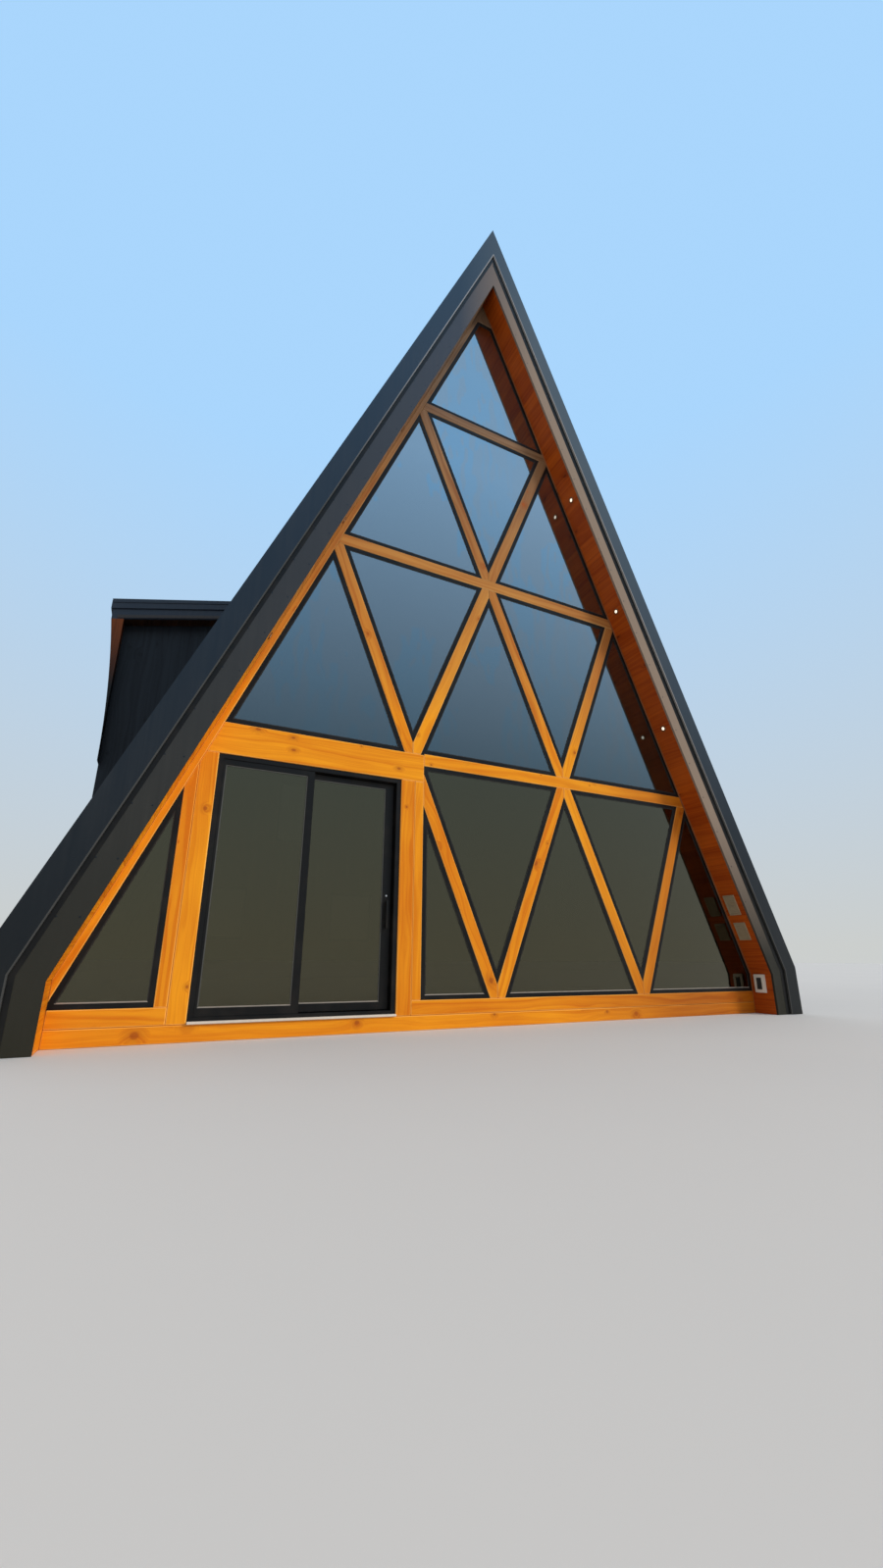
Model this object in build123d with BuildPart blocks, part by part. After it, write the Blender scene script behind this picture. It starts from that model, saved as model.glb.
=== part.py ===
from build123d import *

import os
from math import atan2, sin

# A steep timber A-frame cabin: metal-clad roof, a triangulated glass front, a sliding door and a side bay

# Driving sizes of the glass front, in millimetres
CELL_WIDTH = 1750          # side of one triangle of the lattice
ROW_HEIGHT = 2178          # height of one row of triangles
NODE_BASE = 194            # height of the lowest row of lattice nodes above the ground
HALF_CELLS = 2             # cells from the middle to the roof at the lowest nodes
TIMBER_DEPTH = 140         # depth of the timbers of the front wall
RAIL_WIDTH = 122           # face width of the level lattice bars
DIAGONAL_WIDTH = 116       # face width of the sloping lattice bars
GABLE_BOARD = 52           # face width of the board that follows the left slope
APEX_BLOCK = 330           # height of the block that closes the top of the front
MITRE_GAP = 3              # joint left between two bars that meet
BOARD_CHAMFER = 4          # eased edge of the face boards

# Body of the building
BODY_LENGTH = 9400         # outer face of the front wall to outer face of the rear wall
OVERHANG = 300             # outer face of the verge trim beyond the front and the rear wall
KNEE_INSET = 92            # inner face of each roof slope's upright foot inside the lowest outer nodes
SOFFIT_BOARD = 20          # boards under the overhang
PANEL_THICKNESS = 300      # insulated roof panel on top of them
ROOFING_THICKNESS = 14     # metal sheet on top of the panel
SEAM_HEIGHT = 32           # standing seam above the sheet
SEAM_WIDTH = 14
SEAM_PITCH = 410
RAKE_SPLIT = 206           # from the soffit to the joint between rake board and rake trim
RAKE_TRIM_OVER = 12        # rake trim beyond the top of the seams
RAKE_THICKNESS = 24
TRIM_THICKNESS = 46
RIDGE_CAP_LEG = 190
RIDGE_CAP_THICKNESS = 10
WALL_THICKNESS = 140

# Floor
FLOOR_TOP = 135

# Skirting, posts and header round the sliding door
SKIRTING_TOP = 235
DOOR_NARROWER = 170        # door opening narrower than one triangle
SLIM_BOARD = 88
WIDE_BOARD = 136
POST_PAST_NODE = 118       # right edge of the right post beyond the node above it
HEADER_HEIGHT = 272
HEADER_OVER_NODE = 48      # top of the header above the node
SILL_THICKNESS = 18

# Windows of the front
FRAME_FACE = 36
FRAME_SETBACK = 5
FRAME_DEPTH = 84
GLASS_THICKNESS = 24
GLASS_SETBACK = 12
SMALLEST_PANE = 20000      # square millimetres; anything less is closed by the timbers

# Sliding door
SILL_PROUD = 24
TRACK_FACE = 26
TRACK_MARGIN = 8
LEAF_GAP = 8
JAMB_FACE = 40
JAMB_SETBACK = 12
JAMB_DEPTH = 108
LEAF_THICKNESS = 40
LEAF_CLEARANCE = 6
ROLLER_INSET = 70
ROLLER_LENGTH = 80
ROLLER_WIDTH = 12
ROLLER_GAP = 0.3           # between the rollers and their track
LOCK_STILE = 78
MEETING_OFFSET = -34       # middle of the meeting stiles from the middle of the opening
MEETING_STILE = 58
FIXED_SIDE_STILE = 20
LEAF_TOP_RAIL = 46
LEAF_BOTTOM_RAIL = 60
DOOR_GLASS = 20
HANDLE_HEIGHT = 930
HANDLE_LENGTH = 240
HANDLE_WIDTH = 22
HANDLE_REACH = 44
HANDLE_EDGE = 34           # handle to the free edge of the leaf

# Side bay on the left slope
BAY_START = 2188           # front cheek behind the front wall
BAY_LENGTH = 3600
BAY_WALL = 140
BAY_WALL_OUT = 203         # outer face of the bay wall beyond the inner face of the upright foot
BAY_EAVE_OUT = 139         # edge of the bay roof beyond the bay wall
BAY_EAVE_TOP = 4438
BAY_RISE = 0.28            # rise of the bay roof for each millimetre inwards
BAY_ROOF_DEPTH = 232       # upright depth of the bay roof at the fascia
BAY_SHEET = 14
BAY_OVERHANG = 170
BAY_FASCIA_THICKNESS = 24
BAY_FASCIA_BAND = 105      # upright depth of the upper, proud band
BAY_FASCIA_PROUD = 18
WING_DROP = 1700           # height over which the wing under the eave tapers away
WING_THICKNESS = 230       # from the edge of the eave back onto the cheek
BAY_WINDOW_WIDTH = 1500
BAY_WINDOW_HEIGHT = 900
BAY_WINDOW_SILL = 2750

# Rear wall windows
REAR_WINDOW_WIDTH = 1050
REAR_WINDOW_HEIGHT = 1150
REAR_WINDOW_SILL = 950
REAR_WINDOW_X = 1500
REAR_UPPER_SILL = 3250
REAR_UPPER_WIDTH = 900
REAR_UPPER_HEIGHT = 1500
SIDE_FRAME_FACE = 50

# Fixtures on the soffit and the knee
LIGHT_RADIUS = 36
LIGHT_PROUD = 7
LIGHT_TOP = 6070
LIGHT_SPACING = 1432
LIGHT_COUNT = 3
FIXTURE_Y = 150            # from the front wall to the middle of the lights
VENT_HEIGHTS = (1178, 890)
VENT_LENGTHS = (235, 205)
VENT_WIDTH = 142
VENT_Y = 120
VENT_THICKNESS = 10
SOCKET_Z = 320
SOCKET_Y = 120
SOCKET_WIDTH = 124
SOCKET_HEIGHT = 196
SOCKET_DEPTH = 32

# Worked out from the driving sizes
LEAN = (CELL_WIDTH / 2) / ROW_HEIGHT
PITCH = atan2(1, LEAN)
SIDEWAYS = 1 / sin(PITCH)
HALF_BASE = HALF_CELLS * CELL_WIDTH
FRONT_Y = -BODY_LENGTH / 2
REAR_Y = BODY_LENGTH / 2
APEX_Z = NODE_BASE + HALF_BASE / LEAN
ROOFING_TOP = SOFFIT_BOARD + PANEL_THICKNESS + ROOFING_THICKNESS
RAKE_TOP = ROOFING_TOP + SEAM_HEIGHT + RAKE_TRIM_OVER
KNEE_X = HALF_BASE - KNEE_INSET
RIGHT_POST_X = POST_PAST_NODE - CELL_WIDTH / 2
DOOR_WIDTH = CELL_WIDTH - DOOR_NARROWER
DOOR_RIGHT = RIGHT_POST_X - WIDE_BOARD - SLIM_BOARD
DOOR_LEFT = DOOR_RIGHT - DOOR_WIDTH
LEFT_POST_X = DOOR_LEFT - WIDE_BOARD - SLIM_BOARD
HEADER_TOP = NODE_BASE + ROW_HEIGHT + HEADER_OVER_NODE
DOOR_TOP = HEADER_TOP - HEADER_HEIGHT
SKIRTING_JOINT = FLOOR_TOP - SILL_THICKNESS
BAY_FACE_X = -KNEE_X - BAY_WALL_OUT
BAY_EAVE_X = BAY_FACE_X - BAY_EAVE_OUT
BAY_Y0 = FRONT_Y + BAY_START
BAY_Y1 = BAY_Y0 + BAY_LENGTH
FIXTURE_LINE = FRONT_Y - FIXTURE_Y
BAY_SILL = NODE_BASE + (HALF_BASE + ROOFING_TOP * SIDEWAYS + BAY_FACE_X) / LEAN

os.makedirs("parts", exist_ok=True)


def save(builder, name):
    """Label a finished piece and write it as one STEP file."""
    builder.part.label = name
    export_step(builder.part, f"parts/{name}.step")


def upright(y):
    """A sketch plane facing the front at depth y: sketch x is X and sketch y is Z."""
    return Plane(origin=(0, y, 0), x_dir=(1, 0, 0), z_dir=(0, -1, 0))


def sideways(x):
    """A sketch plane facing +X: sketch x is Y and sketch y is Z."""
    return Plane(origin=(x, 0, 0), x_dir=(0, 1, 0), z_dir=(1, 0, 0))


def slope_x(z, off=0.0):
    """X of the right slope at height z, measured off millimetres square out from the soffit plane."""
    return HALF_BASE - LEAN * (z - NODE_BASE) + off * SIDEWAYS


def knee_z(off):
    """Height where the slope turns upright, off millimetres out from the soffit plane."""
    return NODE_BASE + (HALF_BASE + off * SIDEWAYS - KNEE_X - off) / LEAN


def ridge_z(off):
    """Height of the ridge, off millimetres out from the soffit plane."""
    return NODE_BASE + (HALF_BASE + off * SIDEWAYS) / LEAN


def slope_outline(inner, outer, side):
    """Corners of one sloping layer between two distances from the soffit plane."""
    return [(side * (KNEE_X + inner), knee_z(inner)), (side * (KNEE_X + outer), knee_z(outer)),
            (0, ridge_z(outer)), (0, ridge_z(inner))]


def knee_outline(inner, outer, side):
    """Corners of the upright foot of one layer."""
    return [(side * (KNEE_X + inner), 0), (side * (KNEE_X + outer), 0),
            (side * (KNEE_X + outer), knee_z(outer)), (side * (KNEE_X + inner), knee_z(inner))]


def polygon_slab(corners, y_low, y_high):
    """Add an upright slab with these X, Z corners between two depths to the part in work."""
    with BuildSketch(upright(y_low)) as outline:
        with BuildLine():
            Polyline(*corners, close=True)
        make_face()
    extrude(outline.sketch, amount=-(y_high - y_low))


def box_between(x, y, z):
    """Add a box between pairs of limits to the part in work."""
    with BuildSketch(Plane.XY.offset(z[0])) as outline:
        with Locations(((x[0] + x[1]) / 2, (y[0] + y[1]) / 2)):
            Rectangle(x[1] - x[0], y[1] - y[0])
    extrude(outline.sketch, amount=z[1] - z[0])


# Ground floor platform
with BuildPart() as floor:
    box_between((-KNEE_X, KNEE_X), (FRONT_Y + TIMBER_DEPTH, REAR_Y - WALL_THICKNESS), (0, FLOOR_TOP))
save(floor, "floor")

# Upright feet of the slopes, standing on the ground
knee_layer = (SOFFIT_BOARD, SOFFIT_BOARD + PANEL_THICKNESS)
roof_ends = (FRONT_Y - OVERHANG + TRIM_THICKNESS, REAR_Y + OVERHANG - TRIM_THICKNESS)
with BuildPart() as knee_walls:
    for side in (-1, 1):
        polygon_slab(knee_outline(*knee_layer, side), *roof_ends)
save(knee_walls, "knee_walls")


def bay_top(x):
    """Top of the bay roof at x."""
    return BAY_EAVE_TOP + BAY_RISE * (x - BAY_EAVE_X)


def bay_roof_meets(off, drop):
    """Point where a line drop below the bay roof top meets the left slope layer off from the soffit plane."""
    z = (bay_top(-HALF_BASE - LEAN * NODE_BASE - off * SIDEWAYS) - drop) / (1 - BAY_RISE * LEAN)
    return -slope_x(z, off), z


def under_bay(inner, outer):
    """Corners of the part of a left slope layer that the bay wall stands on."""
    return [(-KNEE_X - inner, knee_z(inner)), (-KNEE_X - outer, knee_z(outer)),
            (-slope_x(BAY_SILL, outer), BAY_SILL), (-slope_x(BAY_SILL, inner), BAY_SILL)]


def over_bay(inner, outer, drop):
    """Corners of a left slope layer that starts drop below the top of the bay roof."""
    return [bay_roof_meets(inner, drop), bay_roof_meets(outer, drop),
            (0, ridge_z(outer)), (0, ridge_z(inner))]


# Insulated roof panels; the left slope is open behind the bay
with BuildPart() as roof_panel_right:
    polygon_slab(slope_outline(*knee_layer, 1), *roof_ends)
save(roof_panel_right, "roof_panel_right")
with BuildPart() as roof_panel_left:
    polygon_slab(slope_outline(*knee_layer, -1), roof_ends[0], BAY_Y0)
    polygon_slab(under_bay(*knee_layer), BAY_Y0, BAY_Y1)
    polygon_slab(over_bay(*knee_layer, BAY_ROOF_DEPTH), BAY_Y0, BAY_Y1)
    polygon_slab(slope_outline(*knee_layer, -1), BAY_Y1, roof_ends[1])
save(roof_panel_left, "roof_panel_left")

# Board linings: the soffits under the overhangs and the ceilings between the walls
with BuildPart() as soffits:
    for y_pair in ((roof_ends[0], FRONT_Y), (REAR_Y, roof_ends[1])):
        for side in (-1, 1):
            polygon_slab(slope_outline(0, SOFFIT_BOARD, side), *y_pair)
            polygon_slab(knee_outline(0, SOFFIT_BOARD, side), *y_pair)
save(soffits, "soffits")
with BuildPart() as ceiling:
    for side in (-1, 1):
        polygon_slab(knee_outline(0, SOFFIT_BOARD, side), FRONT_Y, REAR_Y)
    polygon_slab(slope_outline(0, SOFFIT_BOARD, 1), FRONT_Y, REAR_Y)
    polygon_slab(slope_outline(0, SOFFIT_BOARD, -1), FRONT_Y, BAY_Y0)
    polygon_slab(under_bay(0, SOFFIT_BOARD), BAY_Y0, BAY_Y1)
    polygon_slab(over_bay(0, SOFFIT_BOARD, BAY_ROOF_DEPTH), BAY_Y0, BAY_Y1)
    polygon_slab(slope_outline(0, SOFFIT_BOARD, -1), BAY_Y1, REAR_Y)
save(ceiling, "ceiling")

# Standing seam roofing: one sheet with its seams on each slope
sheet_layer = (SOFFIT_BOARD + PANEL_THICKNESS, ROOFING_TOP)
seam_layer = (ROOFING_TOP, ROOFING_TOP + SEAM_HEIGHT)
sheet_ends = (roof_ends[0] + RAKE_THICKNESS, roof_ends[1] - RAKE_THICKNESS)
seam_count = int((sheet_ends[1] - sheet_ends[0]) / SEAM_PITCH)
seam_start = -seam_count * SEAM_PITCH / 2
seams = [(seam_start + index * SEAM_PITCH - SEAM_WIDTH / 2, seam_start + index * SEAM_PITCH + SEAM_WIDTH / 2)
         for index in range(seam_count + 1)]
with BuildPart() as roofing_right:
    for corners in (slope_outline(*sheet_layer, 1), knee_outline(*sheet_layer, 1)):
        polygon_slab(corners, *sheet_ends)
    for seam in seams:
        polygon_slab(slope_outline(*seam_layer, 1), *seam)
        polygon_slab(knee_outline(*seam_layer, 1), *seam)
save(roofing_right, "roofing_right")
with BuildPart() as roofing_left:
    polygon_slab(knee_outline(*sheet_layer, -1), *sheet_ends)
    polygon_slab(slope_outline(*sheet_layer, -1), sheet_ends[0], BAY_Y0)
    polygon_slab(under_bay(*sheet_layer), BAY_Y0, BAY_Y1)
    polygon_slab(over_bay(*sheet_layer, BAY_ROOF_DEPTH), BAY_Y0, BAY_Y1)
    polygon_slab(slope_outline(*sheet_layer, -1), BAY_Y1, sheet_ends[1])
    for seam in seams:
        polygon_slab(knee_outline(*seam_layer, -1), *seam)
        if seam[1] < BAY_Y0 - BAY_OVERHANG or seam[0] > BAY_Y1 + BAY_OVERHANG:
            polygon_slab(slope_outline(*seam_layer, -1), *seam)
        else:
            polygon_slab(over_bay(*seam_layer, 0), *seam)
            if seam[1] < BAY_Y0 or seam[0] > BAY_Y1:
                lower = slope_outline(*seam_layer, -1)[:2]
                polygon_slab(lower + [bay_roof_meets(seam_layer[1], BAY_ROOF_DEPTH),
                                      bay_roof_meets(seam_layer[0], BAY_ROOF_DEPTH)], *seam)
            else:
                polygon_slab(under_bay(*seam_layer), *seam)
save(roofing_left, "roofing_left")

# Ridge cap folded over both slopes
with BuildPart() as ridge_cap:
    cap_low = ROOFING_TOP + SEAM_HEIGHT
    cap_high = cap_low + RIDGE_CAP_THICKNESS
    cap_drop = RIDGE_CAP_LEG * sin(PITCH)
    for side in (-1, 1):
        polygon_slab([(side * slope_x(ridge_z(cap_low) - cap_drop, cap_low), ridge_z(cap_low) - cap_drop),
                      (side * slope_x(ridge_z(cap_high) - cap_drop, cap_high), ridge_z(cap_high) - cap_drop),
                      (0, ridge_z(cap_high)), (0, ridge_z(cap_low))], *sheet_ends)
save(ridge_cap, "ridge_cap")


def rake(inner, outer, y_low, y_high):
    """Add one band of the verge, both slopes and both feet, to the part in work."""
    for side in (-1, 1):
        polygon_slab(slope_outline(inner, outer, side), y_low, y_high)
        polygon_slab(knee_outline(inner, outer, side), y_low, y_high)


# Verge boards and metal verge trims, front and rear
with BuildPart() as rake_boards:
    for face, outwards in ((roof_ends[0], -1), (roof_ends[1], 1)):
        rake(0, RAKE_SPLIT, *sorted((face, face + outwards * RAKE_THICKNESS)))
save(rake_boards, "rake_boards")
with BuildPart() as rake_trims:
    for face, outwards in ((roof_ends[0], -1), (roof_ends[1], 1)):
        front_face = face + outwards * TRIM_THICKNESS
        rake(RAKE_SPLIT, sheet_layer[0], *sorted((face, front_face)))
        rake(sheet_layer[0], RAKE_TOP, *sorted((face - outwards * RAKE_THICKNESS, front_face)))
save(rake_trims, "rake_trims")


def lattice_node(row, cells):
    """X, Z of a lattice node, counted in rows from the lowest and in cells from the middle."""
    return cells * CELL_WIDTH, NODE_BASE + row * ROW_HEIGHT


def bar_corners(start, end, width):
    """Corners of a straight bar of this width between two points, run on by its width at both ends."""
    run = Vector(end[0] - start[0], end[1] - start[1])
    along = run.normalized() * width
    across = Vector(-along.Y, along.X) / 2
    low = Vector(*start) - along
    high = Vector(*end) + along
    return [tuple(p)[:2] for p in (low - across, high - across, high + across, low + across)]


def flat(corners, mode=Mode.ADD):
    """Add a polygon to the sketch in work."""
    with BuildLine() as outline:
        Polyline(*corners, close=True)
    make_face(outline.edges(), mode=mode)


def wall_opening():
    """Add the outline between the soffits, above the skirting, to the sketch in work."""
    flat([(-KNEE_X, SKIRTING_TOP), (KNEE_X, SKIRTING_TOP), (KNEE_X, knee_z(0)), (0, APEX_Z),
          (-KNEE_X, knee_z(0))])


RAILS = [(row, NODE_BASE + row * ROW_HEIGHT) for row in (1, 2, 3)]
DIAGONALS = [
    [((1, -0.5), (0, 0)), ((1, 0.5), (0, 0)), ((1, 0.5), (0, 1)), ((1, 1.5), (0, 1))],
    [((2, -1), (1, -0.5)), ((2, 0), (1, -0.5)), ((2, 0), (1, 0.5)), ((2, 1), (1, 0.5))],
    [((3, -0.5), (2, 0)), ((3, 0.5), (2, 0))],
]
gable_inside = GABLE_BOARD * SIDEWAYS
board_line = [(-slope_x(SKIRTING_TOP), SKIRTING_TOP), (-slope_x(SKIRTING_TOP) + gable_inside, SKIRTING_TOP),
              (gable_inside, APEX_Z), (0, APEX_Z)]

# Face outlines of the front timbers, each trimmed by the one it butts against
with BuildSketch() as gable_face:
    wall_opening()
    flat(board_line, Mode.INTERSECT)
with BuildSketch() as apex_face:
    wall_opening()
    with Locations((0, APEX_Z - APEX_BLOCK / 2)):
        Rectangle(CELL_WIDTH, APEX_BLOCK, mode=Mode.INTERSECT)
    add(gable_face.sketch, mode=Mode.SUBTRACT)
with BuildSketch() as header_face:
    wall_opening()
    with Locations(((RIGHT_POST_X - HALF_BASE) / 2, (DOOR_TOP + HEADER_TOP) / 2)):
        Rectangle(RIGHT_POST_X + HALF_BASE, HEADER_HEIGHT, mode=Mode.INTERSECT)
    add(gable_face.sketch, mode=Mode.SUBTRACT)
with BuildSketch() as rail_face:
    wall_opening()
    with BuildSketch(mode=Mode.INTERSECT):
        for row, height in RAILS:
            start = RIGHT_POST_X if row == 1 else -HALF_BASE
            with Locations(((start + HALF_BASE) / 2, height)):
                Rectangle(HALF_BASE - start, RAIL_WIDTH)
    add(gable_face.sketch, mode=Mode.SUBTRACT)

diagonal_faces = []
for low_row, bars in enumerate(DIAGONALS):
    span = (NODE_BASE + low_row * ROW_HEIGHT, NODE_BASE + (low_row + 1) * ROW_HEIGHT)
    with BuildSketch() as row_face:
        for bar_start, bar_end in bars:
            flat(bar_corners(lattice_node(*bar_start), lattice_node(*bar_end), DIAGONAL_WIDTH))
        with Locations((0, (span[0] + span[1]) / 2)):
            Rectangle(2 * HALF_BASE, span[1] - span[0], mode=Mode.INTERSECT)
        with BuildSketch(mode=Mode.INTERSECT):
            wall_opening()
        for other in (rail_face, gable_face, header_face):
            add(other.sketch, mode=Mode.SUBTRACT)
        with Locations(((RIGHT_POST_X + DOOR_LEFT) / 2, DOOR_TOP / 2)):
            Rectangle(RIGHT_POST_X - DOOR_LEFT, DOOR_TOP, mode=Mode.SUBTRACT)
    diagonal_faces.append(row_face)


def timber(face, depth=TIMBER_DEPTH):
    """Raise a face outline into a timber of the front wall, with eased front edges."""
    with BuildPart() as piece:
        with BuildSketch(upright(FRONT_Y)):
            add(face.sketch)
        extrude(amount=-depth)
        front_edges = piece.edges().group_by(Axis.Y)[0]
        chamfer(front_edges, BOARD_CHAMFER)
    return piece


save(timber(gable_face), "gable_board")
save(timber(apex_face), "apex_block")
save(timber(header_face), "door_header")
save(timber(rail_face), "lattice_rails")
with BuildSketch() as jointed:
    for row_face, bars in zip(diagonal_faces, DIAGONALS):
        with BuildSketch():
            add(row_face.sketch)
            bar_ends = [cells for bar in bars for _, cells in bar]
            for node_cells in {cells for cells in bar_ends if bar_ends.count(cells) > 1}:
                with Locations((node_cells * CELL_WIDTH, APEX_Z / 2)):
                    Rectangle(MITRE_GAP, APEX_Z, mode=Mode.SUBTRACT)
save(timber(jointed), "lattice_diagonals")


# Posts beside the door: the wide board stands on the lower skirting board, the slim one on the upper
right_joint = DOOR_RIGHT + WIDE_BOARD
for name, wide_x, slim_x in (("door_post_left", (LEFT_POST_X + SLIM_BOARD, DOOR_LEFT), LEFT_POST_X),
                             ("door_post_right", (DOOR_RIGHT, right_joint), right_joint)):
    with BuildSketch() as boards:
        with Locations(((wide_x[0] + wide_x[1]) / 2, (SKIRTING_JOINT + DOOR_TOP) / 2)):
            Rectangle(WIDE_BOARD - MITRE_GAP / 2, DOOR_TOP - SKIRTING_JOINT)
        with Locations((slim_x + SLIM_BOARD / 2, (SKIRTING_TOP + DOOR_TOP) / 2)):
            Rectangle(SLIM_BOARD - MITRE_GAP / 2, DOOR_TOP - SKIRTING_TOP)
        with BuildSketch(mode=Mode.INTERSECT):
            flat([(-slope_x(0) + gable_inside, 0), (slope_x(0), 0), (gable_inside, APEX_Z)])
    save(timber(boards), name)

# Skirting: one board right across and one more on each side of the door
with BuildSketch() as skirting_face:
    with Locations((0, (SKIRTING_JOINT - MITRE_GAP / 2) / 2)):
        Rectangle(2 * KNEE_X, SKIRTING_JOINT - MITRE_GAP / 2)
    for x_low, x_high in ((-KNEE_X, LEFT_POST_X + SLIM_BOARD), (DOOR_RIGHT + WIDE_BOARD, KNEE_X)):
        with Locations(((x_low + x_high) / 2, (SKIRTING_JOINT + SKIRTING_TOP) / 2)):
            Rectangle(x_high - x_low, SKIRTING_TOP - SKIRTING_JOINT)
save(timber(skirting_face), "skirting")

# Panes: whatever the timbers leave open
with BuildSketch() as panes:
    wall_opening()
    for face in (gable_face, apex_face, header_face, rail_face, *diagonal_faces):
        add(face.sketch, mode=Mode.SUBTRACT)
    with Locations(((LEFT_POST_X + RIGHT_POST_X) / 2, DOOR_TOP / 2)):
        Rectangle(RIGHT_POST_X - LEFT_POST_X, DOOR_TOP, mode=Mode.SUBTRACT)

first_rail = NODE_BASE + ROW_HEIGHT
for level, z_low, z_high in (("lower", 0, first_rail), ("upper", first_rail, APEX_Z)):
    level_panes = [face for face in panes.sketch.faces()
                   if z_low < face.center().Y < z_high and face.area > SMALLEST_PANE]
    with BuildPart() as frames:
        with BuildSketch(upright(FRONT_Y + FRAME_SETBACK)):
            for pane in level_panes:
                add(pane)
                offset(pane, amount=-FRAME_FACE, kind=Kind.INTERSECTION, mode=Mode.SUBTRACT)
        extrude(amount=-FRAME_DEPTH)
    save(frames, f"window_frames_{level}")
    with BuildPart() as glazing:
        with BuildSketch(upright(FRONT_Y + GLASS_SETBACK)):
            for pane in level_panes:
                add(offset(pane, amount=-FRAME_FACE, kind=Kind.INTERSECTION, mode=Mode.PRIVATE))
        extrude(amount=-GLASS_THICKNESS)
    save(glazing, f"window_glass_{level}")

# Sill under the sliding door
with BuildPart() as door_sill:
    box_between((DOOR_LEFT, DOOR_RIGHT), (FRONT_Y - SILL_PROUD, FRONT_Y + TIMBER_DEPTH),
                (SKIRTING_JOINT, FLOOR_TOP))
save(door_sill, "door_sill")


def ring(x, z, side_faces, low_face, high_face, y_low, y_high):
    """Add a rectangular frame to the part in work: side_faces are its left and right face widths."""
    with BuildSketch(upright(y_low)) as outline:
        with Locations(((x[0] + x[1]) / 2, (z[0] + z[1]) / 2)):
            Rectangle(x[1] - x[0], z[1] - z[0])
        hole_x = (x[0] + side_faces[0], x[1] - side_faces[1])
        hole_z = (z[0] + low_face, z[1] - high_face)
        with Locations(((hole_x[0] + hole_x[1]) / 2, (hole_z[0] + hole_z[1]) / 2)):
            Rectangle(hole_x[1] - hole_x[0], hole_z[1] - hole_z[0], mode=Mode.SUBTRACT)
    extrude(outline.sketch, amount=-(y_high - y_low))
    return hole_x, hole_z


# Frame of the sliding door
door_y = FRONT_Y + JAMB_SETBACK
with BuildPart() as door_frame:
    inside_x, inside_z = ring((DOOR_LEFT, DOOR_RIGHT), (FLOOR_TOP, DOOR_TOP), (JAMB_FACE, JAMB_FACE),
                              TRACK_FACE, JAMB_FACE, door_y, door_y + JAMB_DEPTH)
save(door_frame, "door_frame")

# Fixed leaf in the outer track
fixed_y = door_y + TRACK_MARGIN
fixed_right = (inside_x[0] + inside_x[1]) / 2 + MEETING_OFFSET + MEETING_STILE / 2
with BuildPart() as fixed_leaf:
    fixed_glass_x, leaf_glass_z = ring((inside_x[0], fixed_right), inside_z,
                                       (FIXED_SIDE_STILE, MEETING_STILE), LEAF_BOTTOM_RAIL, LEAF_TOP_RAIL,
                                       fixed_y, fixed_y + LEAF_THICKNESS)
save(fixed_leaf, "door_fixed_leaf")


def leaf_glass(x, z, leaf_y):
    """Add the pane of a door leaf to the part in work."""
    middle = leaf_y + LEAF_THICKNESS / 2
    box_between(x, (middle - DOOR_GLASS / 2, middle + DOOR_GLASS / 2), z)


with BuildPart() as fixed_glass:
    leaf_glass(fixed_glass_x, leaf_glass_z, fixed_y)
save(fixed_glass, "door_fixed_glass")

# Sliding leaf in the inner track, shown closed
sliding_y = fixed_y + LEAF_THICKNESS + LEAF_GAP
sliding_x = (fixed_right - MEETING_STILE, inside_x[1] - LEAF_CLEARANCE)
sliding_z = (inside_z[0] + LEAF_CLEARANCE, inside_z[1] - LEAF_CLEARANCE)
with BuildPart() as sliding_leaf:
    sliding_glass_x, sliding_glass_z = ring(sliding_x, sliding_z, (MEETING_STILE, LOCK_STILE),
                                            LEAF_BOTTOM_RAIL, LEAF_TOP_RAIL,
                                            sliding_y, sliding_y + LEAF_THICKNESS)
    track_y = sliding_y + LEAF_THICKNESS / 2
    roller_y = (track_y - ROLLER_WIDTH / 2, track_y + ROLLER_WIDTH / 2)
    for roller_x in (sliding_x[0] + ROLLER_INSET, sliding_x[1] - ROLLER_INSET - ROLLER_LENGTH):
        box_between((roller_x, roller_x + ROLLER_LENGTH), roller_y, (inside_z[0] + ROLLER_GAP, sliding_z[0]))
save(sliding_leaf, "door_sliding_leaf")
with BuildPart() as sliding_glass:
    leaf_glass(sliding_glass_x, sliding_glass_z, sliding_y)
save(sliding_glass, "door_sliding_glass")

# Pull handle on two standoffs at the free edge of the sliding leaf
handle_x = (sliding_x[1] - HANDLE_EDGE - HANDLE_WIDTH, sliding_x[1] - HANDLE_EDGE)
handle_ends = (HANDLE_HEIGHT - HANDLE_LENGTH / 2, HANDLE_HEIGHT + HANDLE_LENGTH / 2)
with BuildPart() as handle:
    box_between(handle_x, (sliding_y - HANDLE_REACH, sliding_y - HANDLE_REACH + HANDLE_WIDTH), handle_ends)
    for standoff_z in (handle_ends[0] + HANDLE_WIDTH, handle_ends[1] - 2 * HANDLE_WIDTH):
        box_between(handle_x, (sliding_y - HANDLE_REACH + HANDLE_WIDTH, sliding_y),
                    (standoff_z, standoff_z + HANDLE_WIDTH))
save(handle, "door_handle")

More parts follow.
